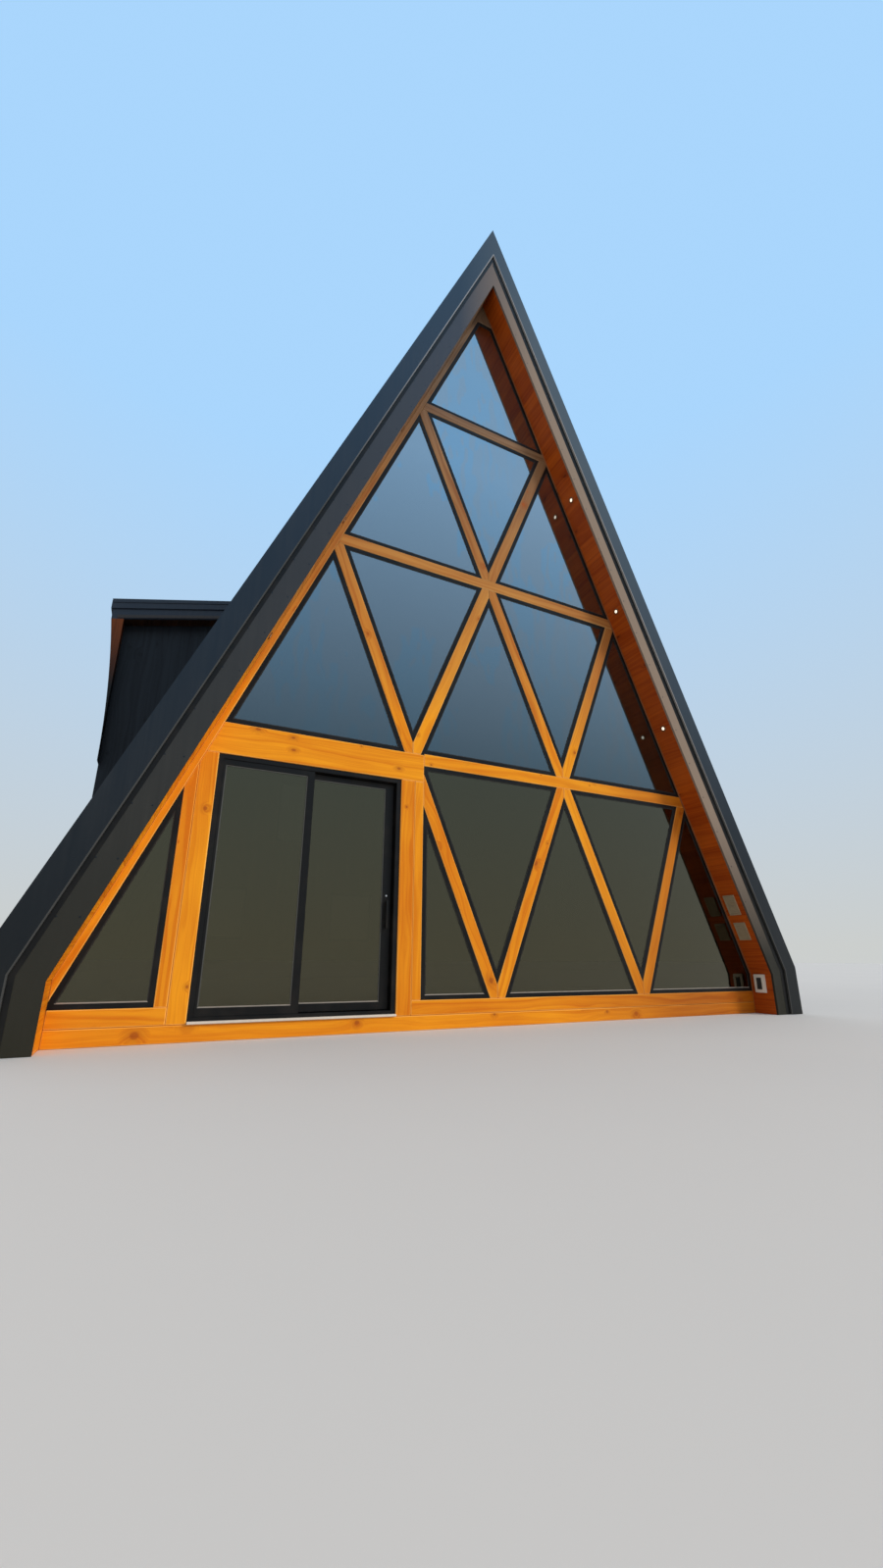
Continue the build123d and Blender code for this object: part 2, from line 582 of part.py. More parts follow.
# Rear wall with its three windows
rear_windows = [(side * REAR_WINDOW_X, REAR_WINDOW_SILL, REAR_WINDOW_WIDTH, REAR_WINDOW_HEIGHT)
                for side in (-1, 1)]
rear_windows.append((0, REAR_UPPER_SILL, REAR_UPPER_WIDTH, REAR_UPPER_HEIGHT))
with BuildPart() as rear_wall:
    with BuildSketch(upright(REAR_Y - WALL_THICKNESS)):
        flat([(-KNEE_X, 0), (KNEE_X, 0), (KNEE_X, knee_z(0)), (0, APEX_Z), (-KNEE_X, knee_z(0))])
        for centre_x, sill, width, height in rear_windows:
            with Locations((centre_x, sill + height / 2)):
                Rectangle(width, height, mode=Mode.SUBTRACT)
    extrude(amount=-WALL_THICKNESS)
save(rear_wall, "rear_wall")
rear_frame_y = REAR_Y - FRAME_SETBACK - FRAME_DEPTH
rear_glass_y = REAR_Y - GLASS_SETBACK - GLASS_THICKNESS
with BuildPart() as rear_frames:
    for centre_x, sill, width, height in rear_windows:
        ring((centre_x - width / 2, centre_x + width / 2), (sill, sill + height),
             (SIDE_FRAME_FACE, SIDE_FRAME_FACE), SIDE_FRAME_FACE, SIDE_FRAME_FACE,
             rear_frame_y, rear_frame_y + FRAME_DEPTH)
save(rear_frames, "rear_window_frames")
with BuildPart() as rear_glass:
    for centre_x, sill, width, height in rear_windows:
        half_glass = width / 2 - SIDE_FRAME_FACE
        box_between((centre_x - half_glass, centre_x + half_glass),
                    (rear_glass_y, rear_glass_y + GLASS_THICKNESS),
                    (sill + SIDE_FRAME_FACE, sill + height - SIDE_FRAME_FACE))
save(rear_glass, "rear_window_glass")


def bay_under(x):
    """Underside of the bay roof at x."""
    return bay_top(x) - BAY_ROOF_DEPTH


# Cheeks at the two ends of the bay
cheek_outline = [(-slope_x(BAY_SILL), BAY_SILL), (BAY_FACE_X, BAY_SILL), (BAY_FACE_X, bay_under(BAY_FACE_X)),
                 bay_roof_meets(0, BAY_ROOF_DEPTH)]
with BuildPart() as cheeks:
    polygon_slab(cheek_outline, BAY_Y0, BAY_Y0 + BAY_WALL)
    polygon_slab(cheek_outline, BAY_Y1 - BAY_WALL, BAY_Y1)
save(cheeks, "bay_cheeks")

# Outer wall of the bay and its window
bay_middle = (BAY_Y0 + BAY_Y1) / 2
window_y = (bay_middle - BAY_WINDOW_WIDTH / 2, bay_middle + BAY_WINDOW_WIDTH / 2)
window_z = (BAY_WINDOW_SILL, BAY_WINDOW_SILL + BAY_WINDOW_HEIGHT)
with BuildPart() as bay_wall:
    polygon_slab([(BAY_FACE_X, BAY_SILL), (BAY_FACE_X + BAY_WALL, BAY_SILL),
                  (BAY_FACE_X + BAY_WALL, bay_under(BAY_FACE_X + BAY_WALL)),
                  (BAY_FACE_X, bay_under(BAY_FACE_X))],
                 BAY_Y0 + BAY_WALL, BAY_Y1 - BAY_WALL)
    with BuildSketch(sideways(BAY_FACE_X)):
        with Locations((bay_middle, (window_z[0] + window_z[1]) / 2)):
            Rectangle(BAY_WINDOW_WIDTH, BAY_WINDOW_HEIGHT)
    extrude(amount=BAY_WALL, mode=Mode.SUBTRACT)
save(bay_wall, "bay_wall")
with BuildPart() as bay_window_frame:
    with BuildSketch(sideways(BAY_FACE_X + FRAME_SETBACK)):
        with Locations((bay_middle, (window_z[0] + window_z[1]) / 2)):
            Rectangle(BAY_WINDOW_WIDTH, BAY_WINDOW_HEIGHT)
            Rectangle(BAY_WINDOW_WIDTH - 2 * SIDE_FRAME_FACE, BAY_WINDOW_HEIGHT - 2 * SIDE_FRAME_FACE,
                      mode=Mode.SUBTRACT)
    extrude(amount=FRAME_DEPTH)
save(bay_window_frame, "bay_window_frame")
with BuildPart() as bay_window_glass:
    with BuildSketch(sideways(BAY_FACE_X + GLASS_SETBACK)):
        with Locations((bay_middle, (window_z[0] + window_z[1]) / 2)):
            Rectangle(BAY_WINDOW_WIDTH - 2 * SIDE_FRAME_FACE, BAY_WINDOW_HEIGHT - 2 * SIDE_FRAME_FACE)
    extrude(amount=GLASS_THICKNESS)
save(bay_window_glass, "bay_window_glass")

# Roof of the bay: panel with its soffit, metal sheet and stepped fascia
bay_ends = (BAY_Y0 - BAY_OVERHANG, BAY_Y1 + BAY_OVERHANG)
panel_ends = (bay_ends[0] + BAY_FASCIA_THICKNESS, bay_ends[1] - BAY_FASCIA_THICKNESS)
eave_in = BAY_EAVE_X + BAY_FASCIA_THICKNESS + BAY_FASCIA_PROUD


def bay_layer(x, high_drop, low_drop):
    """Corners of a bay roof layer between two depths below its top, from x to the left slope."""
    return [(x, bay_top(x) - low_drop), (x, bay_top(x) - high_drop), bay_roof_meets(ROOFING_TOP, high_drop),
            bay_roof_meets(ROOFING_TOP, low_drop)]


with BuildPart() as bay_roof:
    polygon_slab(bay_layer(eave_in, BAY_SHEET, BAY_ROOF_DEPTH), *panel_ends)
save(bay_roof, "bay_roof")
with BuildPart() as bay_roofing:
    polygon_slab(bay_layer(eave_in, 0, BAY_SHEET), *panel_ends)
save(bay_roofing, "bay_roofing")
with BuildPart() as bay_fascia:
    outer_x = BAY_EAVE_X + BAY_FASCIA_PROUD
    for y_pair in ((bay_ends[0], panel_ends[0]), (panel_ends[1], bay_ends[1])):
        polygon_slab(bay_layer(outer_x, 0, BAY_ROOF_DEPTH), *y_pair)
    polygon_slab([(outer_x, bay_top(outer_x)), (eave_in, bay_top(eave_in)),
                  (eave_in, bay_under(eave_in)), (outer_x, bay_under(outer_x))], *panel_ends)
    for y_pair in ((bay_ends[0] - BAY_FASCIA_PROUD, bay_ends[0]),
                   (bay_ends[1], bay_ends[1] + BAY_FASCIA_PROUD)):
        polygon_slab(bay_layer(BAY_EAVE_X, 0, BAY_FASCIA_BAND), *y_pair)
    polygon_slab([(BAY_EAVE_X, bay_top(BAY_EAVE_X)), (outer_x, bay_top(outer_x)),
                  (outer_x, bay_top(outer_x) - BAY_FASCIA_BAND),
                  (BAY_EAVE_X, bay_top(BAY_EAVE_X) - BAY_FASCIA_BAND)], *bay_ends)
save(bay_fascia, "bay_fascia")

# Curved wings that carry the eave down into the corners of the bay
with BuildPart() as bay_wings:
    for y_low in (bay_ends[0], bay_ends[1] - WING_THICKNESS):
        with BuildSketch(upright(y_low)):
            with BuildLine():
                tip = (outer_x, bay_under(outer_x))
                foot = (BAY_FACE_X, bay_under(BAY_FACE_X) - WING_DROP)
                TangentArc(foot, tip, tangent=(0, 1))
                Polyline(tip, (BAY_FACE_X, bay_under(BAY_FACE_X)), foot)
            make_face()
        extrude(amount=-WING_THICKNESS)
save(bay_wings, "bay_wings")


def soffit_plane(z, y):
    """A plane on the right soffit at height z, facing down into the overhang: sketch y runs up the slope."""
    return Plane(origin=(slope_x(z), y, z), x_dir=(0, 1, 0), z_dir=(-1, 0, -LEAN))


# Downlights in the front soffit, the same on both slopes
with BuildPart() as soffit_lights:
    for index in range(LIGHT_COUNT):
        with BuildSketch(soffit_plane(LIGHT_TOP - index * LIGHT_SPACING, FIXTURE_LINE)):
            Circle(LIGHT_RADIUS)
        extrude(amount=LIGHT_PROUD)
    mirror(about=Plane.YZ)
save(soffit_lights, "soffit_lights")

# Vent plates low on the right soffit
with BuildPart() as soffit_vents:
    for height, length in zip(VENT_HEIGHTS, VENT_LENGTHS):
        with BuildSketch(soffit_plane(height, FRONT_Y - VENT_Y)):
            Rectangle(VENT_WIDTH, length)
        extrude(amount=VENT_THICKNESS)
save(soffit_vents, "soffit_vents")

# Covered outlet on the upright foot of the right slope
with BuildPart() as outlet_box:
    box_between((KNEE_X - SOCKET_DEPTH, KNEE_X),
                (FRONT_Y - SOCKET_Y - SOCKET_WIDTH / 2, FRONT_Y - SOCKET_Y + SOCKET_WIDTH / 2),
                (SOCKET_Z - SOCKET_HEIGHT / 2, SOCKET_Z + SOCKET_HEIGHT / 2))
save(outlet_box, "outlet_box")
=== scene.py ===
from math import atan2, cos, pi, radians, sin
from random import Random

import bmesh
import bpy
from mathutils import Matrix, Vector


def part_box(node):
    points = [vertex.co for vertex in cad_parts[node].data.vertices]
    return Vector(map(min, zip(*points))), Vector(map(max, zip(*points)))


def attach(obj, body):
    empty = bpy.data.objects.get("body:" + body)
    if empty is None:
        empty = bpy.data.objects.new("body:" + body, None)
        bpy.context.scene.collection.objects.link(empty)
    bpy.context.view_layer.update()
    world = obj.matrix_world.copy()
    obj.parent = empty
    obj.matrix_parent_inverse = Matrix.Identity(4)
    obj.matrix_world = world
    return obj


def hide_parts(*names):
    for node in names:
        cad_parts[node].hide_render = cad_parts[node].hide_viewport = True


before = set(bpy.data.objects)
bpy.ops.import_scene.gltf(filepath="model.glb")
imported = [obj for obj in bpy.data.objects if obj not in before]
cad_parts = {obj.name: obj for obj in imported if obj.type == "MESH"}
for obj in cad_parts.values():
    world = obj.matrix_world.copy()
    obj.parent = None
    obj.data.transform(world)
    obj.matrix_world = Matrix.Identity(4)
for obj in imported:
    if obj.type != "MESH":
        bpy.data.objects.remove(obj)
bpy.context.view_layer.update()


# Viewpoint
# The picture is taken from just above the ground in front of the left corner, looking up and to the
# right, with a very wide lens held upright.
CAMERA_PLACE = (-2.876, -9.392, 0.569)
CAMERA_TURN = 0.45609      # radians to the right of straight ahead
CAMERA_RISE = 0.29523      # above level
CAMERA_ROLL = 0.0055
CAMERA_LENS = 13.19        # millimetres, for a picture this high on the film
FILM_HEIGHT = 36
camera_data = bpy.data.cameras.new("camera")
camera_data.sensor_fit = "VERTICAL"
camera_data.sensor_height = FILM_HEIGHT
camera_data.lens = CAMERA_LENS
camera = bpy.data.objects.new("camera", camera_data)
camera.matrix_world = (
    Matrix.Translation(CAMERA_PLACE)
    @ Matrix.Rotation(-CAMERA_TURN, 4, "Z")
    @ Matrix.Rotation(pi / 2 + CAMERA_RISE, 4, "X")
    @ Matrix.Rotation(CAMERA_ROLL, 4, "Z")
)
bpy.context.scene.collection.objects.link(camera)
bpy.context.scene.camera = camera
bpy.context.scene.view_settings.view_transform = "Standard"


# Studio floor, sky and lamp
# A pale level floor under a pale sky that turns bluer overhead. One broad lamp on the right in front
# gives the shape, and the sky fills the shade.
def add_node(tree, kind, inputs, **settings):
    """Adds a shader node. Inputs maps a socket's name or number to a value or another node's output."""
    made = tree.nodes.new("ShaderNode" + kind)
    for name, value in settings.items():
        setattr(made, name, value)
    for key, value in inputs.items():
        if isinstance(value, bpy.types.NodeSocket):
            tree.links.new(value, made.inputs[key])
        else:
            made.inputs[key].default_value = value
    return made.outputs


def finish_with(name, shader_values, build):
    """A material of one Principled shader with plain values, whose pattern build wires in."""
    material = bpy.data.materials.new(name)
    material.use_nodes = True
    shader = material.node_tree.nodes["Principled BSDF"]
    for key, value in shader_values.items():
        shader.inputs[key].default_value = value
    build(material.node_tree, shader)
    return material


def math(tree, operation, first, second=0.0, third=0.0):
    return add_node(tree, "Math", {0: first, 1: second, 2: third}, operation=operation)[0]


def blend_colours(tree, factor, first, second):
    return add_node(tree, "Mix", {0: factor, 6: first, 7: second}, data_type="RGBA")[2]


def fade(tree, value, low, high, to_low=0.0, to_high=1.0):
    return add_node(tree, "MapRange", {0: value, 1: low, 2: high, 3: to_low, 4: to_high}, clamp=True)[0]


def noise(tree, place, scale, detail, **inputs):
    return add_node(tree, "TexNoise", {"Vector": place, "Scale": scale, "Detail": detail, **inputs})[0]


def colour_and_gloss(tree, shader, tint, roughness):
    """Wires what varies the colour and the gloss of a finish into its shader."""
    tree.links.new(tint, shader.inputs["Base Color"])
    tree.links.new(roughness, shader.inputs["Roughness"])


SKY_FILL = 0.55
SKY_LOW = (0.60, 0.62, 0.61, 1)
SKY_HIGH = (0.40, 0.67, 0.98, 1)
SKY_BAND = (0.02, 0.72)    # sine of the height between which it turns bluer
FLOOR_SIZE = 300
FLOOR_DROP = 0.001
world = bpy.data.worlds.new("sky")
world.use_nodes = True
bpy.context.scene.world = world
tree = world.node_tree
tree.nodes.clear()
ray = add_node(tree, "LightPath", {})
seen = math(tree, "MAXIMUM", math(tree, "MAXIMUM", ray["Is Camera Ray"], ray["Is Glossy Ray"]),
            ray["Is Transmission Ray"])
upwards = add_node(tree, "SeparateXYZ", {0: add_node(tree, "TexCoord", {})["Generated"]})[2]
sky_tint = blend_colours(tree, fade(tree, upwards, *SKY_BAND), SKY_LOW, SKY_HIGH)
fill = add_node(tree, "Background", {"Color": (1, 1, 1, 1), "Strength": SKY_FILL})[0]
pale = add_node(tree, "Background", {"Color": sky_tint, "Strength": 1.0})[0]
add_node(tree, "OutputWorld", {"Surface": add_node(tree, "MixShader", {0: seen, 1: fill, 2: pale})[0]})

LAMP_FROM = Vector((0.78, -0.72, 0.48))
LAMP_STRENGTH = 1.9
LAMP_BREADTH = radians(16)
LAMP_TINT = (1.0, 0.96, 0.90)
lamp_data = bpy.data.lights.new("lamp", "SUN")
lamp_data.energy = LAMP_STRENGTH
lamp_data.angle = LAMP_BREADTH
lamp_data.color = LAMP_TINT
lamp = bpy.data.objects.new("lamp", lamp_data)
lamp.matrix_world = LAMP_FROM.to_track_quat("Z", "Y").to_matrix().to_4x4()
lamp.visible_glossy = False
lamp.visible_transmission = False
bpy.context.scene.collection.objects.link(lamp)


def floor_finish(tree, shader):
    place = add_node(tree, "TexCoord", {})["Object"]
    cloud = noise(tree, place, 0.35, 4.0)
    tint = blend_colours(tree, cloud, (0.74, 0.75, 0.76, 1), (0.80, 0.80, 0.80, 1))
    tree.links.new(tint, shader.inputs["Base Color"])


bm = bmesh.new()
bmesh.ops.create_grid(bm, x_segments=1, y_segments=1, size=FLOOR_SIZE / 2)
bmesh.ops.translate(bm, verts=bm.verts, vec=(0, 0, -FLOOR_DROP))
floor_mesh = bpy.data.meshes.new("studio_floor")
bm.to_mesh(floor_mesh)
bm.free()
floor_mesh.materials.append(finish_with("studio_floor", {"Roughness": 0.9}, floor_finish))
studio_floor = bpy.data.objects.new("studio_floor", floor_mesh)
bpy.context.scene.collection.objects.link(studio_floor)


# Floor platform
# Oiled pine boards laid lengthwise on a framed platform between the feet of the two slopes, with eased
# edges that leave a fine line at every joint.
def new_group(name, inputs, outputs):
    """A node group with named sockets; returns the tree, its inputs and its outputs."""
    group = bpy.data.node_groups.new(name, "ShaderNodeTree")
    for label, kind in inputs.items():
        group.interface.new_socket(label, in_out="INPUT", socket_type="NodeSocket" + kind)
    for label, kind in outputs.items():
        group.interface.new_socket(label, in_out="OUTPUT", socket_type="NodeSocket" + kind)
    return group, group.nodes.new("NodeGroupInput").outputs, group.nodes.new("NodeGroupOutput").inputs


def place_group(tree, group, inputs):
    """Places a node group in a material and returns its outputs."""
    made = tree.nodes.new("ShaderNodeGroup")
    made.node_tree = group
    for key, value in inputs.items():
        if isinstance(value, bpy.types.NodeSocket):
            tree.links.new(value, made.inputs[key])
        else:
            made.inputs[key].default_value = value
    return made.outputs


def stretch(tree, place, scale):
    return add_node(tree, "VectorMath", {0: place, 1: scale}, operation="MULTIPLY")[0]


def add_relief(tree, shader, height, strength, distance):
    """Lets a pattern of heights tilt the surface."""
    relief = add_node(tree, "Bump", {"Height": height, "Strength": strength, "Distance": distance})[0]
    tree.links.new(relief, shader.inputs["Normal"])


KNOT_RADIUS = 0.095        # of the largest knots, in cells of the knot pattern
wood_grain, given, result = new_group(
    "wood_grain",
    {"Grain": "Vector", "Tone": "Float", "Light": "Color", "Dark": "Color", "Knot": "Color",
     "Knots": "Float"},
    {"Color": "Color", "Roughness": "Float", "Height": "Float"},
)
tree = wood_grain
axes = add_node(tree, "SeparateXYZ", {0: given["Grain"]})
across = math(tree, "MULTIPLY_ADD", axes[2], 0.7, axes[1])
knot_place = add_node(tree, "CombineXYZ", {0: axes[0], 1: across})[0]
cells = add_node(tree, "TexVoronoi", {"Vector": stretch(tree, knot_place, (3.1, 5.2, 1)), "Scale": 1.0},
                 voronoi_dimensions="2D")
cell_tint = add_node(tree, "SeparateColor", {0: cells["Color"]})[0]
knotless = math(tree, "SUBTRACT", 1.0, given["Knots"])
knot_radius = fade(tree, cell_tint, knotless, 1.0, 0.0, KNOT_RADIUS)
from_knot = math(tree, "DIVIDE", cells["Distance"], math(tree, "ADD", knot_radius, 0.0005))
knot = fade(tree, from_knot, 1.15, 0.70)
halo = fade(tree, from_knot, 3.6, 0.9)
bend = noise(tree, stretch(tree, given["Grain"], (0.8, 5.0, 5.0)), 1.0, 2.0)
ring = math(tree, "MULTIPLY_ADD", across, 34.0, math(tree, "MULTIPLY", bend, 6.0))
ring = math(tree, "MULTIPLY_ADD", halo, 1.6, ring)
rings = add_node(tree, "TexNoise", {"W": ring, "Scale": 1.0, "Detail": 3.0, "Roughness": 0.62},
                 noise_dimensions="1D")[0]
late = fade(tree, rings, 0.40, 0.66)
fibre = noise(tree, stretch(tree, given["Grain"], (5.0, 190.0, 190.0)), 1.0, 3.0)
cloud = noise(tree, stretch(tree, given["Grain"], (1.3, 11.0, 11.0)), 1.0, 2.0)
blotch = noise(tree, stretch(tree, given["Grain"], (0.9, 2.6, 2.6)), 1.0, 2.0)
shade = math(tree, "MULTIPLY_ADD", late, 0.50, math(tree, "MULTIPLY", fibre, 0.30))
shade = math(tree, "MULTIPLY_ADD", fade(tree, cloud, 0.35, 0.70), 0.40, shade)
shade = math(tree, "MULTIPLY_ADD", fade(tree, blotch, 0.36, 0.64), 0.36, shade)
shade = math(tree, "ADD", shade, fade(tree, given["Tone"], 0.0, 1.0, -0.45, 0.05))
tint = blend_colours(tree, fade(tree, shade, 0.0, 1.0), given["Light"], given["Dark"])
tint = blend_colours(tree, math(tree, "MULTIPLY", halo, 0.38), tint, given["Knot"])
tint = blend_colours(tree, math(tree, "MULTIPLY", knot, 0.70), tint, given["Knot"])
tree.links.new(tint, result["Color"])
rough = fade(tree, fibre, 0.0, 1.0, 0.34, 0.50)
tree.links.new(math(tree, "MULTIPLY_ADD", late, 0.10, rough), result["Roughness"])
height = math(tree, "MULTIPLY_ADD", late, -0.4, math(tree, "MULTIPLY", fibre, 0.6))
tree.links.new(math(tree, "MULTIPLY_ADD", knot, 0.8, height), result["Height"])


def wood(name, light, dark, knot, knots=0.5, gloss=0.06, height_shade_tints=None, painted_light_heights=(0, 1), power=1.0,
         right_shade_tints=None, reach=(0, 1)):
    """Stained boards whose grain follows each board. They change to other tints between two heights, and
    turn to deeper ones between two distances to the right; both changes are painted shade."""
    def build(tree, shader):
        pattern_inputs = {"Light": (*light, 1), "Dark": (*dark, 1), "Knot": (*knot, 1), "Knots": knots}
        pattern_inputs["Grain"] = add_node(tree, "Attribute", {}, attribute_name="grain")["Vector"]
        pattern_inputs["Tone"] = add_node(tree, "Attribute", {}, attribute_name="tone")["Fac"]
        # Painted shade: the tints change between two heights and deepen towards the right, standing in
        # for shade.
        if height_shade_tints:
            axes = add_node(tree, "SeparateXYZ", {0: add_node(tree, "TexCoord", {})["Object"]})
            part = math(tree, "POWER", fade(tree, axes[2], *painted_light_heights), power)
            painted_light_right = fade(tree, axes[0], *reach)
            painted_shade_sets = zip(("Light", "Dark"), (light, dark), height_shade_tints, right_shade_tints or (light, dark))
            for label, plain_tint, height_shade_tint, right_shade_tint in painted_shade_sets:
                right_shaded = blend_colours(tree, painted_light_right, (*plain_tint, 1), (*right_shade_tint, 1))
                pattern_inputs[label] = blend_colours(tree, part, right_shaded, (*height_shade_tint, 1))
        pattern = place_group(tree, wood_grain, pattern_inputs)
        colour_and_gloss(tree, shader, pattern["Color"], pattern["Roughness"])
        add_relief(tree, shader, pattern["Height"], 0.6, 0.0006)
    varnish = {"Coat Weight": gloss, "Coat Roughness": 0.3, "Specular IOR Level": 0.18}
    return finish_with(name, varnish, build)


SLIVER = 0.001             # a last board narrower than this is left out
MERGE = 0.00001            # points closer than this become one
FLAT = 0.005               # radians within which faces become one
SHARP = radians(30)        # turn from which an edge is eased


def merged_copy(*nodes):
    """A bmesh with the merged shapes of CAD nodes."""
    bm = bmesh.new()
    for node in nodes:
        bm.from_mesh(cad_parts[node].data)
    bmesh.ops.remove_doubles(bm, verts=bm.verts, dist=MERGE)
    bmesh.ops.dissolve_limit(bm, angle_limit=FLAT, verts=bm.verts, edges=bm.edges)
    return bm


def gather(target, part):
    """Moves one bmesh into another."""
    mesh = bpy.data.meshes.new("part")
    part.to_mesh(mesh)
    part.free()
    target.from_mesh(mesh)
    bpy.data.meshes.remove(mesh)


def keep_side(bm, place, direction):
    """Cuts solids with a plane, keeps what lies where direction points to, and closes the cut."""
    geom = bm.verts[:] + bm.edges[:] + bm.faces[:]
    made = bmesh.ops.bisect_plane(bm, geom=geom, plane_co=place, plane_no=direction, clear_inner=True)
    edges = [item for item in made["geom_cut"] if isinstance(item, bmesh.types.BMEdge)]
    if edges:
        bmesh.ops.holes_fill(bm, edges=edges, sides=0)


def ease(bm, width, segments=1, finish=0):
    """Takes the sharp edges off every solid of a mesh, and gives them the finish of that number."""
    edges = [edge for edge in bm.edges if edge.is_manifold and edge.calc_face_angle(0) > SHARP]
    made = bmesh.ops.bevel(bm, geom=edges, offset=width, segments=segments, profile=0.5, affect="EDGES",
                           material=-1, clamp_overlap=True)
    for face in made["faces"]:
        face.material_index = finish


def split_into_boards(slab, direction, pitch, ease_by):
    """Cuts a slab into boards by planes square to direction, and eases their edges."""
    direction = Vector(direction)
    reach = [vertex.co.dot(direction) for vertex in slab.verts]
    boards = bmesh.new()
    cut = min(reach)
    while cut < max(reach) - SLIVER:
        board = slab.copy()
        keep_side(board, direction * cut, direction)
        keep_side(board, direction * (cut + pitch), -direction)
        gather(boards, board)
        cut += pitch
    slab.free()
    bmesh.ops.remove_doubles(boards, verts=boards.verts, dist=0.0)
    boards.normal_update()
    ease(boards, ease_by)
    return boards


def islands(bm):
    """The lists of connected vertices of a mesh."""
    left = set(bm.verts)
    for vertex in bm.verts:
        if vertex in left:
            left.remove(vertex)
            found = [vertex]
            for reached in found:
                for edge in reached.link_edges:
                    other = edge.other_vert(reached)
                    if other in left:
                        left.remove(other)
                        found.append(other)
            yield found


def lay_grain(bm, seed, along=None):
    """Writes on each board its own directions, a start of its own and a tone of its own. The directions
    are metres along its longest edge or a given way, across it and into it."""
    grain = bm.verts.layers.float_vector.new("grain")
    tone = bm.verts.layers.float.new("tone")
    chance = Random(seed)
    bm.normal_update()
    for board in islands(bm):
        edges = {edge: 0 for vertex in board for edge in vertex.link_edges}
        faces = {face: 0 for vertex in board for face in vertex.link_faces}
        longest = max(edges, key=lambda edge: round(edge.calc_length(), 4))
        line = Vector(along) if along else (longest.verts[1].co - longest.verts[0].co).normalized()
        flat = [face for face in faces if abs(face.normal.dot(line)) < 0.3]
        out = max(flat, key=lambda face: round(face.calc_area(), 5)).normal.copy()
        side = out.cross(line).normalized()
        start = Vector([chance.uniform(0, 50) for _ in range(3)])
        shade = chance.random()
        for vertex in board:
            place = vertex.co
            vertex[grain] = Vector((place.dot(line), place.dot(side), place.dot(out))) + start
            vertex[tone] = shade


def make_piece(name, bm, materials, body="cabin", smooth=None):
    """Turns a bmesh into a piece of the object, with its finishes, riding on a body."""
    mesh = bpy.data.meshes.new(name)
    bm.to_mesh(mesh)
    bm.free()
    for material in materials:
        mesh.materials.append(material)
    if smooth:
        mesh.shade_smooth()
        mesh.set_sharp_from_angle(angle=radians(smooth))
    piece = bpy.data.objects.new(name, mesh)
    bpy.context.scene.collection.objects.link(piece)
    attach(piece, body)
    return piece


FLOOR_PITCH = 0.139
BOARD_EASE = 0.002
floor_wood = wood("floor_wood", (0.42, 0.235, 0.11), (0.26, 0.13, 0.055), (0.10, 0.045, 0.02),
                  knots=0.3)
bm = split_into_boards(merged_copy("floor"), (1, 0, 0), FLOOR_PITCH, BOARD_EASE)
lay_grain(bm, 11, along=(0, 1, 0))
floor_boards = make_piece("floor_boards", bm, [floor_wood])
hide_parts("floor")


# Carcass of the slopes
# Insulated panels faced with raw boarding stand on upright feet and lean together at the ridge. The roof
# sheets, the linings and the rakes cover them on every side.
def dress(nodes, material):
    """Gives CAD nodes their finish."""
    for node in nodes:
        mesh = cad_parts[node].data
        mesh.materials.clear()
        mesh.materials.append(material)


def raw_boarding(tree, shader):
    place = add_node(tree, "TexCoord", {})["Object"]
    lengthwise = add_node(tree, "Mapping", {0: place, "Rotation": (0, 0, pi / 2)})[0]
    pattern = place_group(tree, wood_grain, {
        "Grain": lengthwise, "Tone": 0.5, "Light": (0.60, 0.46, 0.29, 1), "Dark": (0.45, 0.31, 0.17, 1),
        "Knot": (0.2, 0.12, 0.06, 1), "Knots": 0.3,
    })
    colour_and_gloss(tree, shader, pattern["Color"], pattern["Roughness"])


raw_board = finish_with("raw_board", {}, raw_boarding)
dress(["roof_panel_left", "roof_panel_right", "knee_walls"], raw_board)


# Inner lining
# Pine boards laid lengthwise from the feet to the ridge on both slopes, stained a quiet brown.
CELL_WIDTH = 1.75          # side of one triangle of the lattice
ROW_HEIGHT = 2.178         # and its height
LINING_PITCH = 0.141
slope_angle = atan2(ROW_HEIGHT, CELL_WIDTH / 2)
lining_wood = wood("lining_wood", (0.50, 0.235, 0.085), (0.33, 0.125, 0.038), (0.14, 0.045, 0.015),
                   knots=0.4)
lining = bmesh.new()
for side in (-1, 1):
    half = merged_copy("ceiling")
    keep_side(half, (0, 0, 0), (side, 0, 0))
    up_slope = (-side * cos(slope_angle), 0, sin(slope_angle))
    gather(lining, split_into_boards(half, up_slope, LINING_PITCH, BOARD_EASE))
lay_grain(lining, 12, along=(0, 1, 0))
lining_boards = make_piece("lining_boards", lining, [lining_wood])
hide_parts("ceiling")


# Soffits
# Stained pine boards nailed across under both overhangs from the wall to the rake board, over one wide
# board on each upright foot. The right-hand ones are painted darker and redder, as painted shade.
SOFFIT_PITCH = 0.138
SOFFIT_THICKNESS = 0.020
HALF_BASE = 3.5            # middle of the front to the slope at the lowest lattice nodes
NODE_BASE = 0.194          # height of those nodes
LEAN = CELL_WIDTH / 2 / ROW_HEIGHT
soffit_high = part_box("soffits")[1]
KNEE_X = soffit_high.x - SOFFIT_THICKNESS


def slope_foot(off):
    """Height at which a slope turns upright, off metres out from the soffit."""
    return NODE_BASE + (HALF_BASE + off / sin(slope_angle) - KNEE_X - off) / LEAN


def slope_top(off):
    """Height of the ridge, off metres out from the soffit."""
    return NODE_BASE + (HALF_BASE + off / sin(slope_angle)) / LEAN
